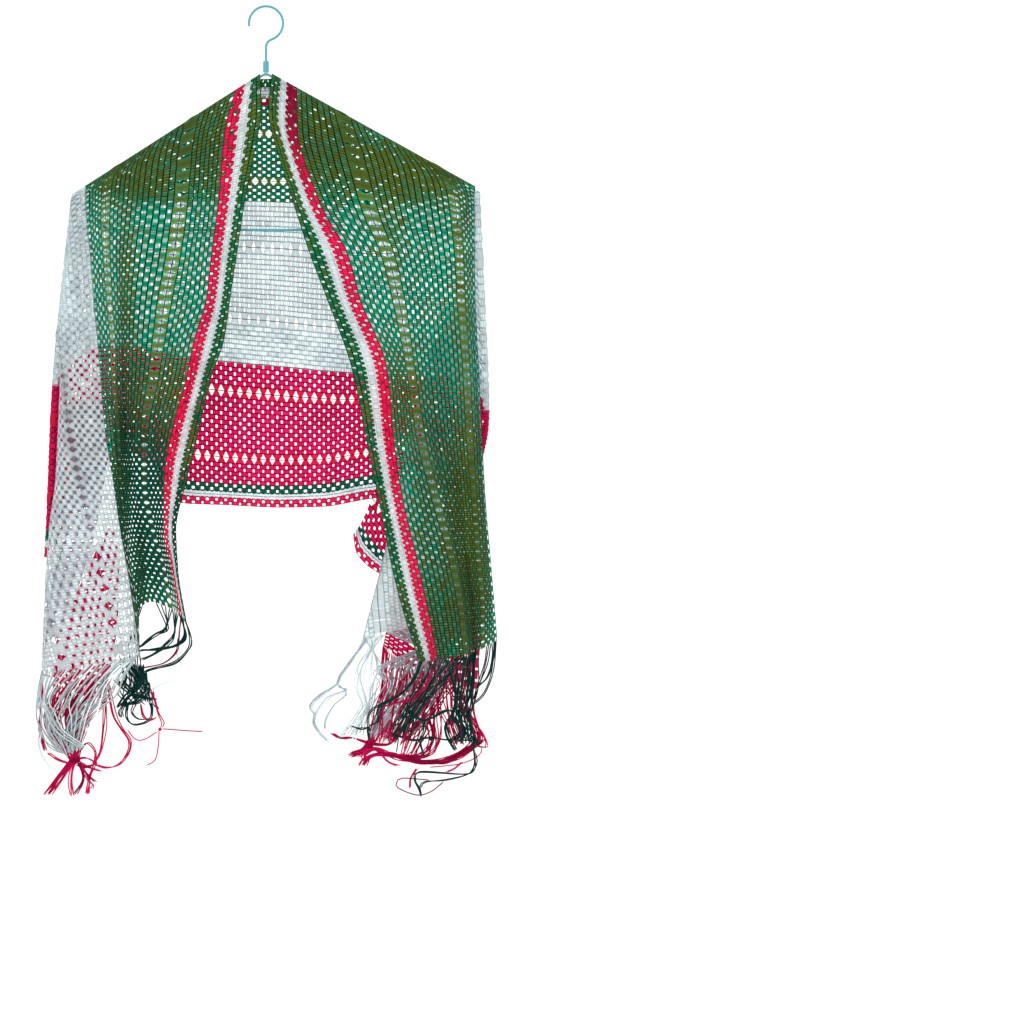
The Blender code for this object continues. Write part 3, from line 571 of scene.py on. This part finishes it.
class Weave:
    """Collects the vertices, faces, colours and yarn coordinates of one piece."""

    def __init__(self):
        self.points, self.faces, self.colours, self.yarn, self.count = [], [], [], [], 0

    def add(self, points, faces, colours, yarn):
        """points [n, k, 3], faces [m, 4] in one cell, colours [n, k, 3], yarn [n, k, 3]."""
        cells, size = points.shape[:2]
        start = self.count + np.arange(cells)[:, None, None] * size
        self.points.append(points.reshape(-1, 3))
        self.faces.append((start + np.asarray(faces)[None]).reshape(-1, 4))
        self.colours.append(np.broadcast_to(colours, points.shape).reshape(-1, 3))
        self.yarn.append(np.broadcast_to(yarn, points.shape).reshape(-1, 3))
        self.count += cells * size

    def piece(self, name, slot, node):
        """Makes one piece of all that was added, which stands for the node."""
        points = np.concatenate(self.points) * MM
        faces = np.concatenate(self.faces)
        mesh = bpy.data.meshes.new(name)
        mesh.vertices.add(len(points))
        mesh.vertices.foreach_set("co", points.ravel())
        mesh.loops.add(faces.size)
        mesh.loops.foreach_set("vertex_index", faces.ravel())
        mesh.polygons.add(len(faces))
        mesh.polygons.foreach_set("loop_start", np.arange(0, faces.size, 4))
        mesh.polygons.foreach_set("loop_total", np.full(len(faces), 4))
        mesh.update(calc_edges=True)
        mesh.validate()
        mesh.shade_smooth()
        colours = np.concatenate(self.colours)
        layer = mesh.attributes.new("yarn_colour", "FLOAT_COLOR", "POINT")
        layer.data.foreach_set("color", np.concatenate([colours, np.ones((len(colours), 1))], axis=1).ravel())
        layer = mesh.attributes.new("yarn_place", "FLOAT_VECTOR", "POINT")
        layer.data.foreach_set("vector", np.concatenate(self.yarn).ravel())
        mesh.materials.append(COTTON[slot])
        obj = bpy.data.objects.new(name, mesh)
        bpy.context.scene.collection.objects.link(obj)
        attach(obj, "root")
        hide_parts(node)
        return obj


def grid_faces(rows, columns):
    corner = np.arange(rows * columns).reshape(rows, columns)
    return np.stack([corner[:-1, :-1], corner[1:, :-1], corner[1:, 1:], corner[:-1, 1:]], axis=-1).reshape(-1, 4)


def chart_rows():
    """Every row of the chart: its kind, yarn, first v, width, place in the count, and the yarns and reach of its
    teeth."""
    rows, v = [], 0.0
    for line in CHART.strip().splitlines():
        kind, name, count, *teeth = line.split()
        near, far, reach = teeth or (None, None, 0.0)
        width = OPEN_ROW if kind == "open" else ROW
        for step in range(int(count)):
            rows.append({"kind": kind, "yarn": name, "v": v, "width": width, "count": len(rows), "reach": float(reach),
                         "near": near if step == 0 else None, "far": far if step == int(count) - 1 else None})
            v += width
    return rows


ROWS = chart_rows()


def patch_share(places, yarn, key):
    """How much of the key each place [n, 3] takes from its yarn's patches."""
    share = np.zeros(len(places))
    for name, patch, amounts in PATCH_ROWS:
        if name == yarn:
            amount = amounts[PATCH_KEYS.index(key)]
            share = np.maximum(share, amount * np.exp(-(far_from(places, *patch) ** 2)))
    return np.where(places[:, 1] > BEHIND, 0.0, share) if yarn == "green" else share


def cell_colours(yarn, kind, places, along, columns):
    """Colours [n, along, across, 3] of cells at the given places."""
    style = YARNS[yarn]
    # A cell's ends, round the holes, take painted light: a painted highlight on the greens, painted shade on the whites
    # and crimsons.
    ends = (np.abs(along) ** 2)[None, :, None, None]
    middle = np.broadcast_to(linear(style["bundle" if kind == "open" else "cell"]), (len(places), 1, 1, 3))
    edge = np.broadcast_to(linear(style["edge"]), middle.shape)
    turns = []  # the colours it turns to here, how far, and how far at a cell's ends
    if yarn in ("green", "border_green"):
        olive = patch_share(places, "green", "olive") + RNG.normal(0, OLIVE_SPREAD, len(places))
        olive += OLIVE_MORE * (RNG.uniform(0, 1, len(places)) < OLIVE_CHANCE)
        # painted shade: the dark patches turn the green towards SHADOW
        dark = patch_share(places, "green", "dark")
        turns = [(OLIVE, olive.clip(0, 1), 0.8), (SHADOW, dark, 0.8)]
    # painted shade on the right border's crimson near the shoulder
    if yarn == "border_crimson":
        turns = [(SHADED_CRIMSON, np.exp(-far_from(places, *CRIMSON_SHADE_PATCH)), 1.0)]
    for colour, share, at_ends in turns:
        share = share[:, None, None, None]
        middle = blend(middle, linear(colour), share)
        edge = blend(edge, linear(colour), at_ends * share)
    closed = patch_share(places, yarn, "closed")[:, None, None, None]
    # where the white's holes close, the painted shade round them fades
    if yarn == "white":
        edge = blend(edge, middle, closed)
    colour = blend(middle, edge, ends)
    if yarn == "green":
        colour = colour * (1 - CLOSED_SHADE * closed)
    colour = colour * RNG.normal(1, CELL_SPREAD, (len(places), 1, 1, 1)).clip(0.7, 1.3)
    return np.broadcast_to(colour, (len(places), len(along), columns, 3)).copy()


def add_cells(net, stretch, row, kind, yarn, centre, half, band, ends, shade, waist=None, side=1):
    """Adds one cell at each centre. band is the stretch of v it covers, ends the first and last u of the net. waist
    is how narrow an open row's bundles are, and side is 1 for the cloth's outer face, -1 for its inner one."""
    form, style = FORMS[kind], YARNS[yarn]
    along, across = np.array(form["along"], float), np.array(form["across"])
    middle = (band[0] + band[1]) / 2
    places = stretch.at(centre, np.full(len(centre), middle))
    closed = patch_share(places, yarn, "closed")
    if kind == "cells":
        half = half * (1 + CLOSING * closed)
    half = half * RNG.normal(1, 0.05, len(centre)).clip(0.85, 1.15)
    low, high = stretch.limits(centre)
    keep = (max(band) - low > LEAST) & (high - min(band) > LEAST)
    if not keep.any():
        return
    centre, half, places, closed = centre[keep], half[keep], places[keep], closed[keep]
    waist = style.get("open", 1.0) if waist is None else waist
    waist = waist * (1 - closed) if kind == "open" else np.ones(len(centre))
    long = half[:, None] * (1 - (1 - np.array(form["length"])[None]) * waist[:, None])
    u = (centre[:, None, None] + along[None, :, None] * long[:, None, :]).clip(*ends)
    near, far = (np.clip(limit, *stretch.limits(u)) for limit in band)
    v = near + across * (far - near)
    lift = side * (np.array(form["lift"])[None, None, :] + 0.3 * (1 - along**2)[None, :, None])
    points = stretch.at(u, v, np.broadcast_to(lift, u.shape))
    stripes = np.broadcast_to(along[None, :, None] * form["yarns"] / 2 * YARN, u.shape)
    seed = RNG.uniform(0, 40, (len(u), 1, 1))
    # the third value is how dark the painted shade in the grooves between yarns is
    yarn_place = np.stack([stripes, v - row["v"] + seed, np.full(u.shape, style["furrow_shade"])], axis=-1)
    colour = cell_colours(yarn, kind, places, along, len(across)) * shade
    size = (len(u), -1, 3)
    net.add(points.reshape(size), grid_faces(len(along), len(across)), colour.reshape(size), yarn_place.reshape(size))


def add_line(net, stretch, v_line, colour, marks, half, shade, two_faced=False):
    """A lengthwise yarn along v_line, one value or one for each mark. A two-faced one also shows on the inner face."""
    wander = RNG.normal(0, LINE_WANDER, len(marks))
    v_line = np.broadcast_to(v_line, marks.shape)
    inside = stretch.inside(marks, v_line)
    both = inside[:-1] & inside[1:]
    if not both.any():
        return
    section = [(-half, LINE_SIDE), (0.0, LIFT), (half, LINE_SIDE), (0.0, -LIFT), (-half, LINE_SIDE)]
    section = np.array(section[:5 if two_faced else 3])
    size = (len(marks), len(section))
    u = np.broadcast_to(marks[:, None], size)
    v = (v_line + wander)[:, None] + section[:, 0]
    points = stretch.at(u, v, np.broadcast_to(section[:, 1], size))
    # the third value sets the painted shade in the grooves
    place = np.stack([u * 0.9 + (v - v_line[:, None]) * 0.9, u, np.full(size, 0.5)], axis=-1)
    pairs = np.concatenate([points[:-1], points[1:]], axis=1)[both]
    place = np.concatenate([place[:-1], place[1:]], axis=1)[both]
    varied = RNG.normal(1, LINE_SPREAD, (len(pairs), 1, 1)).clip(0.6, 1.4)
    net.add(pairs, grid_faces(2, len(section)), linear(colour) * varied * shade, place)


def weave(stretch, low, high, shade=1.0, fill=0.0, ribs=None, waist=None, two_faced=False):
    """The net between v = low and v = high of a stretch. fill is added to each cell's share, and ribs gives the v
    between which there are no holes. Teeth and lengthwise yarns show on both faces of a two-faced net."""
    net = Weave()
    ends = (0.0, stretch.length)
    steps = int(stretch.length / PITCH)
    pitch = stretch.length / steps
    marks = np.linspace(*ends, steps + 1)
    lines = {}
    for row in ROWS:
        band = (row["v"], row["v"] + row["width"])
        if band[0] < low - NEAR or band[1] > high + OVER:
            continue
        style = YARNS[row["yarn"]]
        for v_line in band:
            key = round(v_line, 1)
            if row["kind"] != "toothed" or key not in lines:
                half = EDGE_LINE if v_line < NEAR or v_line > HEM - NEAR else LINE
                lines[key] = (style["line"], half)
        share = min(1.0, style["fill"] + fill)
        if ribs and ribs[0] <= row["v"] < ribs[1]:
            share = 1.0
        if row["kind"] == "toothed":
            chosen, half = np.arange(steps), pitch * 0.5
        else:
            chosen, half = np.arange(steps)[row["count"] % 2::2], pitch * (1.0 if row["kind"] == "open" else share)
        if row["kind"] == "open":
            lines[round(sum(band) / 2, 1)] = (style["middle"], MIDDLE_LINE * LINE)
        centre = (chosen + 0.5) * pitch + RNG.normal(0, CELL_WANDER, len(chosen))
        half = np.full(len(centre), half)
        add_cells(net, stretch, row, row["kind"], row["yarn"], centre, half, band, ends, shade, waist)
        reach = ROW * row["reach"]
        for yarn, teeth in ((row["near"], (band[0], band[0] + reach)), (row["far"], (band[1], band[1] - reach))):
            if yarn is None:
                continue
            centre = (np.arange(steps) + 0.5) * pitch + RNG.normal(0, TOOTH_WANDER, steps)
            half = np.full(steps, pitch * TOOTH)
            for side in (1, -1) if two_faced else (1,):
                add_cells(net, stretch, row, "tooth", yarn, centre, half, teeth, ends, shade, side=side)
    for v_line, (colour, half) in sorted(lines.items()):
        add_line(net, stretch, v_line, colour, marks, half, shade, two_faced)
    for edge in stretch.limits(marks):
        here = (edge > low + NEAR) & (edge < high + OVER)
        if np.ptp(edge) > 1.0 and here.sum() > 1:  # an edge that slants across the rows
            colour = YARNS["white" if low < WHITE else "crimson"]["line"]
            add_line(net, stretch, edge[here], colour, marks[here], EDGE_LINE, shade)
    return net


def curl(points):
    """A smooth curve through each row of points [n, gates, 3], with a facet about every STRAND_STEP."""
    before = 2 * points[:, :1] - points[:, 1:2]
    after = 2 * points[:, -1:] - points[:, -2:-1]
    knots = np.concatenate([before, points, after], axis=1)
    length = np.linalg.norm(np.diff(points, axis=1), axis=2).mean(axis=0)
    pieces = []
    for gate, run in enumerate(length):
        share = np.linspace(0, 1, max(2, round(run / STRAND_STEP)), endpoint=False)[None, :, None]
        a, b, c, d = (knots[:, gate + step][:, None] for step in range(4))
        bend = 2 * b + (c - a) * share + (2 * a - 5 * b + 4 * c - d) * share**2 + (3 * b - a - 3 * c + d) * share**3
        pieces.append(bend / 2)
    return np.concatenate([*pieces, points[:, -1:]], axis=1)


def add_tubes(net, paths, colours):
    """Round strands along the paths [n, steps, 3], closed at both ends. colours [n, 3]."""
    tangent = unit(np.gradient(paths, axis=1))
    side = unit(np.cross(tangent, (0.04, 1.0, 0.02)))
    up = np.cross(side, tangent)
    turn = np.linspace(0, 2 * math.pi, STRAND_SIDES + 1)
    radius = np.full(paths.shape[1], STRAND)
    radius[[0, -1]] = STRAND_END
    ring = np.cos(turn)[:, None] * side[:, :, None] + np.sin(turn)[:, None] * up[:, :, None]
    points = paths[:, :, None] + ring * radius[:, None, None]
    run = np.linalg.norm(np.diff(paths, axis=1), axis=2).cumsum(axis=1)
    along = np.concatenate([np.zeros((len(paths), 1)), run], axis=1)
    along = np.broadcast_to(along[:, :, None], points.shape[:3])
    around = np.broadcast_to(turn / math.pi * YARN, points.shape[:3])
    # the third value sets the painted shade in the grooves
    place = np.stack([around + along * 0.5, along, np.full(along.shape, 0.3)], axis=-1)
    size = (len(paths), -1, 3)
    net.add(points.reshape(size), grid_faces(paths.shape[1], STRAND_SIDES + 1), colours[:, None], place.reshape(size))


def add_sheaf(net, stretch, yarn, count, x, z, wide, y, v=None):
    """Adds the strands of one row of a fringe's table."""
    count, gates = int(count), len(x)
    share = np.linspace(-1, 1, count) if count > 1 else np.zeros(1)
    wide = np.broadcast_to(wide, gates)
    x = np.array(x) + share[:, None] * wide
    points = np.stack([x, np.broadcast_to(np.linspace(*y, gates), x.shape), np.broadcast_to(z, x.shape)], axis=-1)
    loose = np.minimum(STRAY + STRAY_WIDE * wide, STRAY_MOST)
    points = points + RNG.normal(0, 1, points.shape) * loose[None, :, None]
    if v:
        start = stretch.at(np.full(count, stretch.length - STRAND_ROOT), np.linspace(*v, count))
        points = np.concatenate([start[:, None], points], axis=1)
    colours = linear(FRINGE_YARNS[yarn]) * RNG.normal(1, STRAND_SPREAD, (count, 1)).clip(0.6, 1.4)
    add_tubes(net, curl(points), colours)


def add_knot(net, yarn, turns, middle, size):
    """A knot: a strand wound round and round in a short rising coil."""
    turns = int(turns)
    turn = np.linspace(0, 2 * math.pi * turns, 10 * turns)
    rise = (turn / turn[-1] - 0.5) * 2 * STRAND * turns
    radius = size * (1 - 0.35 * (rise / rise.max()) ** 2)
    path = np.stack([radius * np.cos(turn), radius * np.sin(turn), rise], axis=-1) + middle
    add_tubes(net, path[None], linear(FRINGE_YARNS[yarn])[None])


def fringe(side, colour, stretch, sheaves, knots=""):
    """The fringe of one colour at one end of the cloth, as one piece."""
    net = Weave()
    for sheaf in read_rows(sheaves):
        add_sheaf(net, stretch, *sheaf)
    for knot in read_rows(knots):
        add_knot(net, *knot)
    return net.piece(f"{side}_{colour}_strands", f"{colour}_yarn", f"{side}_fringe_{colour}")


def new_material(name):
    made = bpy.data.materials.new(name)
    made.use_nodes = True
    return made, made.node_tree, made.node_tree.nodes["Principled BSDF"]


def set_inputs(node, values):
    for socket, value in values.items():
        node.inputs[socket].default_value = value
    return node


def new_node(tree, kind, **values):
    """A new shader node, with the named inputs set."""
    return set_inputs(tree.nodes.new("ShaderNode" + kind), values)


def join(tree, *pairs):
    for source, target in pairs:
        tree.links.new(source, target)


def yarn_material(name, roughness, sheen, tint):
    """Round yarns side by side, each with its twist, its fuzz and painted shade in the groove beside it."""
    made, tree, shader = new_material(name)
    set_inputs(shader, {"Roughness": roughness, "Sheen Weight": sheen, "Sheen Roughness": 0.45,
                        "Sheen Tint": (*linear(tint), 1.0), "Specular IOR Level": 0.12})
    colour, place = new_node(tree, "Attribute"), new_node(tree, "Attribute")
    colour.attribute_name, place.attribute_name = "yarn_colour", "yarn_place"
    split = new_node(tree, "SeparateXYZ")
    where = new_node(tree, "TexCoord")
    fibre = new_node(tree, "TexNoise", Scale=900.0, Detail=3.0)
    blotch = new_node(tree, "TexNoise", Scale=26.0, Detail=2.0)
    bump = new_node(tree, "Bump", Strength=0.8, Distance=0.0005)
    tinted = new_node(tree, "VectorMath")
    tinted.operation = "SCALE"
    glow = new_node(tree, "BsdfTranslucent")
    both = new_node(tree, "MixShader", Fac=SHOW_THROUGH)

    def calc(kind, *operands):
        node = new_node(tree, "Math")
        node.operation = kind
        for socket, value in zip(node.inputs, operands):
            if isinstance(value, (int, float)):
                socket.default_value = value
            else:
                tree.links.new(value, socket)
        return node.outputs[0]

    ply = calc("COSINE", calc("MULTIPLY", split.outputs["X"], 2 * math.pi / YARN))
    round_yarn = calc("MULTIPLY_ADD", ply, 0.5, 0.5)
    sway = calc("MULTIPLY", ply, 1.2)
    twist = calc("SINE", calc("MULTIPLY_ADD", split.outputs["Y"], 2 * math.pi / TWIST, sway))
    height = calc("ADD", round_yarn, calc("MULTIPLY", twist, 0.14))
    height = calc("ADD", height, calc("MULTIPLY", fibre.outputs["Fac"], 0.35))
    # Painted light: the base colour darkens in the groove beside each yarn, by the third value of yarn_place, and
    # lightens a little on its crest.
    beside = calc("SUBTRACT", 1.0, calc("POWER", round_yarn, 0.7))
    light = calc("SUBTRACT", 1.12, calc("MULTIPLY", split.outputs["Z"], beside))
    light = calc("MULTIPLY", light, calc("MULTIPLY_ADD", blotch.outputs["Fac"], 0.5, 0.75))
    light = calc("MULTIPLY", light, calc("MULTIPLY_ADD", fibre.outputs["Fac"], 0.3, 0.85))
    join(
        tree,
        (place.outputs["Vector"], split.inputs[0]),
        (where.outputs["Object"], fibre.inputs["Vector"]),
        (where.outputs["Object"], blotch.inputs["Vector"]),
        (height, bump.inputs["Height"]),
        (bump.outputs["Normal"], shader.inputs["Normal"]),
        (colour.outputs["Color"], tinted.inputs[0]),
        (light, tinted.inputs["Scale"]),
        (tinted.outputs["Vector"], shader.inputs["Base Color"]),
        (tinted.outputs["Vector"], glow.inputs["Color"]),
        (shader.outputs["BSDF"], both.inputs[1]),
        (glow.outputs["BSDF"], both.inputs[2]),
        (both.outputs["Shader"], tree.nodes["Material Output"].inputs["Surface"]),
    )
    return made


COTTON = {
    "green_yarn": yarn_material("green_yarn", 0.65, 0.09, (60, 200, 150)),
    "white_yarn": yarn_material("white_yarn", 0.78, 0.2, (255, 255, 255)),
    "crimson_yarn": yarn_material("crimson_yarn", 0.68, 0.1, (255, 90, 140)),
}


def hang(name, node, colour, stretch, low, high, width=None, trim=(), **look):
    """Weaves one piece that stands for the node. width is the cloth's, in mm, where it isn't all of low to high; it is
    not used.
    """
    piece = weave(stretch, low, high, **look).piece(f"{name}_cloth", f"{colour}_yarn", node)


def weave_left_front():
    rails = over_arm(rails_of(LEFT_FRONT))
    rails = np.concatenate([rails, rails[:, -1:] + WRAP], axis=1)
    turn = LEFT_TURN[:1] * ARM_STEPS + LEFT_TURN
    across = np.array([[*FRONT_V, (GREEN + far) / 2, far, far + WRAP_V] for far in turn])
    cloth = Stretch(rails, across, FORWARD, LEFT_CREASES, middle=3)
    white = fringe("left", "white", cloth, LEFT_WHITE_FRINGE)
    green = fringe("left", "green", cloth, LEFT_GREEN_FRINGE)
    hang("left_border", "left_front_border", "green", cloth, 0, BORDER)
    hang("left_green", "left_front_green", "green", cloth, BORDER, GREEN, trim=[green])
    hang("left_white", "left_front_white", "white", cloth, GREEN, WHITE, width=86, trim=[white], fill=-0.1, waist=0.9)


def weave_right_front():
    cloth = Stretch(over_arm(rails_of(RIGHT_FRONT)), FRONT_V, FORWARD, RIGHT_CREASES, middle=3)
    green = fringe("right", "green", cloth, RIGHT_GREEN_FRINGE, RIGHT_GREEN_KNOTS)
    hang("right_border", "right_front_border", "green", cloth, 0, BORDER)
    hang("right_green", "right_front_green", "green", cloth, BORDER, GREEN, trim=[green])


def weave_inner():
    """The layers folded behind the fronts, and the corner that turns forward."""
    across = WHITE + np.outer(LEFT_WHITE_REACH, (-1, -0.5, 0))
    cloth = Stretch(rails_of(LEFT_INNER_WHITE), across, BACKWARD)
    hang("left_inner_white", "left_inner_white", "white", cloth, LEFT_WHITE_FROM, WHITE, width=40, shade=INNER_SHADE)

    across = WHITE + np.outer(LEFT_CRIMSON_REACH, (0, 0.5, 1))
    cloth = Stretch(rails_of(LEFT_INNER_CRIMSON), across, BACKWARD)
    trim = [fringe("left", "crimson", cloth, LEFT_CRIMSON_FRINGE, LEFT_CRIMSON_KNOTS)]
    hang("left_inner_crimson", "left_inner_crimson", "crimson", cloth, WHITE, LEFT_CRIMSON_TO, width=52, trim=trim)

    across = GREEN + np.outer(RIGHT_WHITE_REACH, (0, 0.5, 1))
    cloth = Stretch(rails_of(RIGHT_INNER_WHITE), across, BACKWARD)
    trim = [fringe("right", "white", cloth, RIGHT_WHITE_FRINGE)]
    look = {"trim": trim, "shade": 0.92}
    hang("right_inner_white", "right_inner_white", "white", cloth, GREEN, RIGHT_WHITE_TO, width=105, **look)

    cloth = Stretch(rails_of(RIGHT_INNER_CRIMSON), RIGHT_CRIMSON_V, BACKWARD)
    trim = [fringe("right", "crimson", cloth, RIGHT_CRIMSON_FRINGE, RIGHT_CRIMSON_KNOTS)]
    hang("right_inner_crimson", "right_inner_crimson", "crimson", cloth, WHITE, RIGHT_CRIMSON_TO, width=106, trim=trim)

    cloth = Stretch(rails_of(RIGHT_FLAP), FLAP_V, BACKWARD)
    hang("corner_flap", "right_corner_flap", "crimson", cloth, FLAP_FROM, HEM, width=85, two_faced=True)


def weave_back():
    table = dict(read_rows(BACK))
    ways = []
    for names in (("top_x", "crimson_x", "hem_x"), ("white_y", "crimson_y", "edge_y")):
        given = np.array([table[name] for name in names]).T
        ways.append(np.array([np.interp((0, 1, HEM_LINE, 2), (0, 1, 2), row) for row in given]))
    ways.append(np.array([table[name] for name in ("white_z", "crimson_z", "hem_z", "edge_z")]).T)
    rails = np.stack(ways, axis=2)
    for end in (0, -1):
        rails[end, 0, 2] = arm_height(rails[end, 0, 0]) - UNDER_CREST
    wrapped = np.concatenate([rails[:1] + BACK_WRAP, rails, rails[-1:] + BACK_WRAP * (-1, 1, 1)])
    back = Stretch(wrapped, (GREEN, WHITE, CRIMSON, HEM), BACKWARD, BACK_CREASES, middle=1)
    hang("back_white", "back_white", "white", back, GREEN, WHITE, ribs=BACK_RIBS, two_faced=True)
    hang("back_crimson", "back_crimson", "crimson", back, WHITE, CRIMSON, two_faced=True)
    hang("back_hem", "back_hem_border", "white", back, CRIMSON, HEM, two_faced=True)

    first, last = BACK_TOP_ENDS
    fine = np.arange(first, last + 0.01, 0.5)
    lower = smooth(range(len(rails)), rails[:, 0], fine)
    upper, top = [], []
    for point in lower:
        share = min(1.0, abs(point[0]) / NECK_REACH)
        arm_edge = arm_height(math.copysign(NECK_REACH, point[0])) - UNDER_CREST
        edge = arm_height(point[0]) - UNDER_CREST
        if share < 1:
            edge = NECK_MIDDLE + (arm_edge - NECK_MIDDLE) * share**2
        upper.append((point[0], OVER_ARM + NECK_DEPTH * (1 - share**2), edge))
        crest = CREST["left_x"] if point[0] < 0 else CREST["right_x"]
        top.append(max(BORDER, np.interp(abs(point[0]), np.abs(crest)[::-1], CREST["v"][::-1])))
    upper, top = np.array(upper), np.array(top)
    bulge = np.linalg.norm(upper - lower, axis=1)[:, None] * BACK_BULGE
    centre = (upper + lower) / 2 + np.array([0.0, 1.0, 0.0]) * bulge
    across = np.stack([top, (top + GREEN) / 2, np.full(len(top), GREEN)], axis=1)
    cloth = Stretch(np.stack([upper, centre, lower], axis=1), across, BACKWARD, middle=2)
    hang("back_green", "back_green", "green", cloth, BORDER, GREEN, width=110, shade=0.62, fill=0.1)

    within = [point for point in upper if abs(point[0]) < NECK_REACH]
    depth = OVER_ARM + UNDER_CREST
    ends = [np.array((x, depth, float(arm_height(x)) - NECK_DROP)) for x in (-NECK_REACH, NECK_REACH)]
    outer = np.array([ends[0], *within, ends[1]])
    x = outer[:, 0] / NECK_REACH * NECK_INNER
    bend = 1 - (x / NECK_INNER) ** 2
    inner = np.stack([x, depth + NECK_SLACK * bend, arm_height(x) - NECK_DROP - NECK_SAG * bend], axis=1)
    cloth = Stretch(np.stack([inner, (inner + outer) / 2, outer], axis=1), (0, BORDER / 2, BORDER), BACKWARD)
    hang("neck_border", "back_neck_border", "green", cloth, 0, BORDER, shade=0.8)


def hanger_material():
    made, tree, shader = new_material("hanger_coating")
    set_inputs(shader, {"Roughness": 0.35, "Coat Weight": 0.4})
    noise = new_node(tree, "TexNoise", Scale=160.0)
    ramp = new_node(tree, "ValToRGB")
    for stop, teal in zip(ramp.color_ramp.elements, ((34, 120, 132), (62, 164, 172))):
        stop.color = (*linear(teal), 1)
    bump = new_node(tree, "Bump", Strength=0.25, Distance=0.0003)
    join(
        tree,
        (noise.outputs["Fac"], ramp.inputs["Fac"]),
        (ramp.outputs["Color"], shader.inputs["Base Color"]),
        (noise.outputs["Fac"], bump.inputs["Height"]),
        (bump.outputs["Normal"], shader.inputs["Normal"]),
    )
    return made


def dress_hanger():
    coating = hanger_material()
    for name in ("hanger_frame", "hanger_collar", "hanger_hook"):
        node = bpy.data.objects[name]
        for slot in node.material_slots:
            slot.material = coating


def add_object(name, data):
    made = bpy.data.objects.new(name, data)
    bpy.context.scene.collection.objects.link(made)
    return made


def light_and_camera():
    scene = bpy.context.scene
    scene.view_settings.view_transform = "Standard"
    world = bpy.data.worlds.new("studio")
    scene.world = world
    world.use_nodes = True
    set_inputs(world.node_tree.nodes["Background"], {"Color": (1.0, 1.0, 1.0, 1.0), "Strength": 1.2})

    for name, place, aim, size, power in (
        ("key", (-1.6, -2.6, 0.6), (0, 0, -0.45), 1.6, 22),
        ("fill", (2.2, -2.2, -0.2), (0, 0, -0.5), 2.0, 8),
        ("rim", (0.4, 2.6, 0.4), (0, 0, -0.5), 1.8, 20),
    ):
        light = bpy.data.lights.new(name, "AREA")
        light.size, light.energy = size, power
        obj = add_object(name, light)
        obj.location = place
        way = np.array(aim) - np.array(place)
        obj.rotation_euler = (math.acos(-way[2] / np.linalg.norm(way)), 0, math.atan2(way[1], way[0]) - math.pi / 2)

    floor = bpy.data.meshes.new("floor")
    corners = [(x * FLOOR_REACH, y * FLOOR_REACH, FLOOR_Z) for x, y in ((-1, -1), (1, -1), (1, 1), (-1, 1))]
    floor.from_pydata(corners, [], [(0, 1, 2, 3)])
    pale, _, shader = new_material("floor")
    set_inputs(shader, {"Base Color": (0.97, 0.97, 0.97, 1), "Roughness": 0.9})
    floor.materials.append(pale)
    add_object("floor", floor)

    lens = bpy.data.cameras.new("camera")
    lens.sensor_width = 36
    lens.lens = lens.sensor_width * CAMERA_DISTANCE / FRAME_WIDTH
    lens.clip_end = 50
    camera = add_object("camera", lens)
    camera.location = (0.2952, -CAMERA_DISTANCE, -0.6054)
    camera.rotation_euler = (math.pi / 2, 0, 0)
    scene.camera = camera


weave_left_front()
weave_right_front()
weave_inner()
weave_back()
dress_hanger()
light_and_camera()
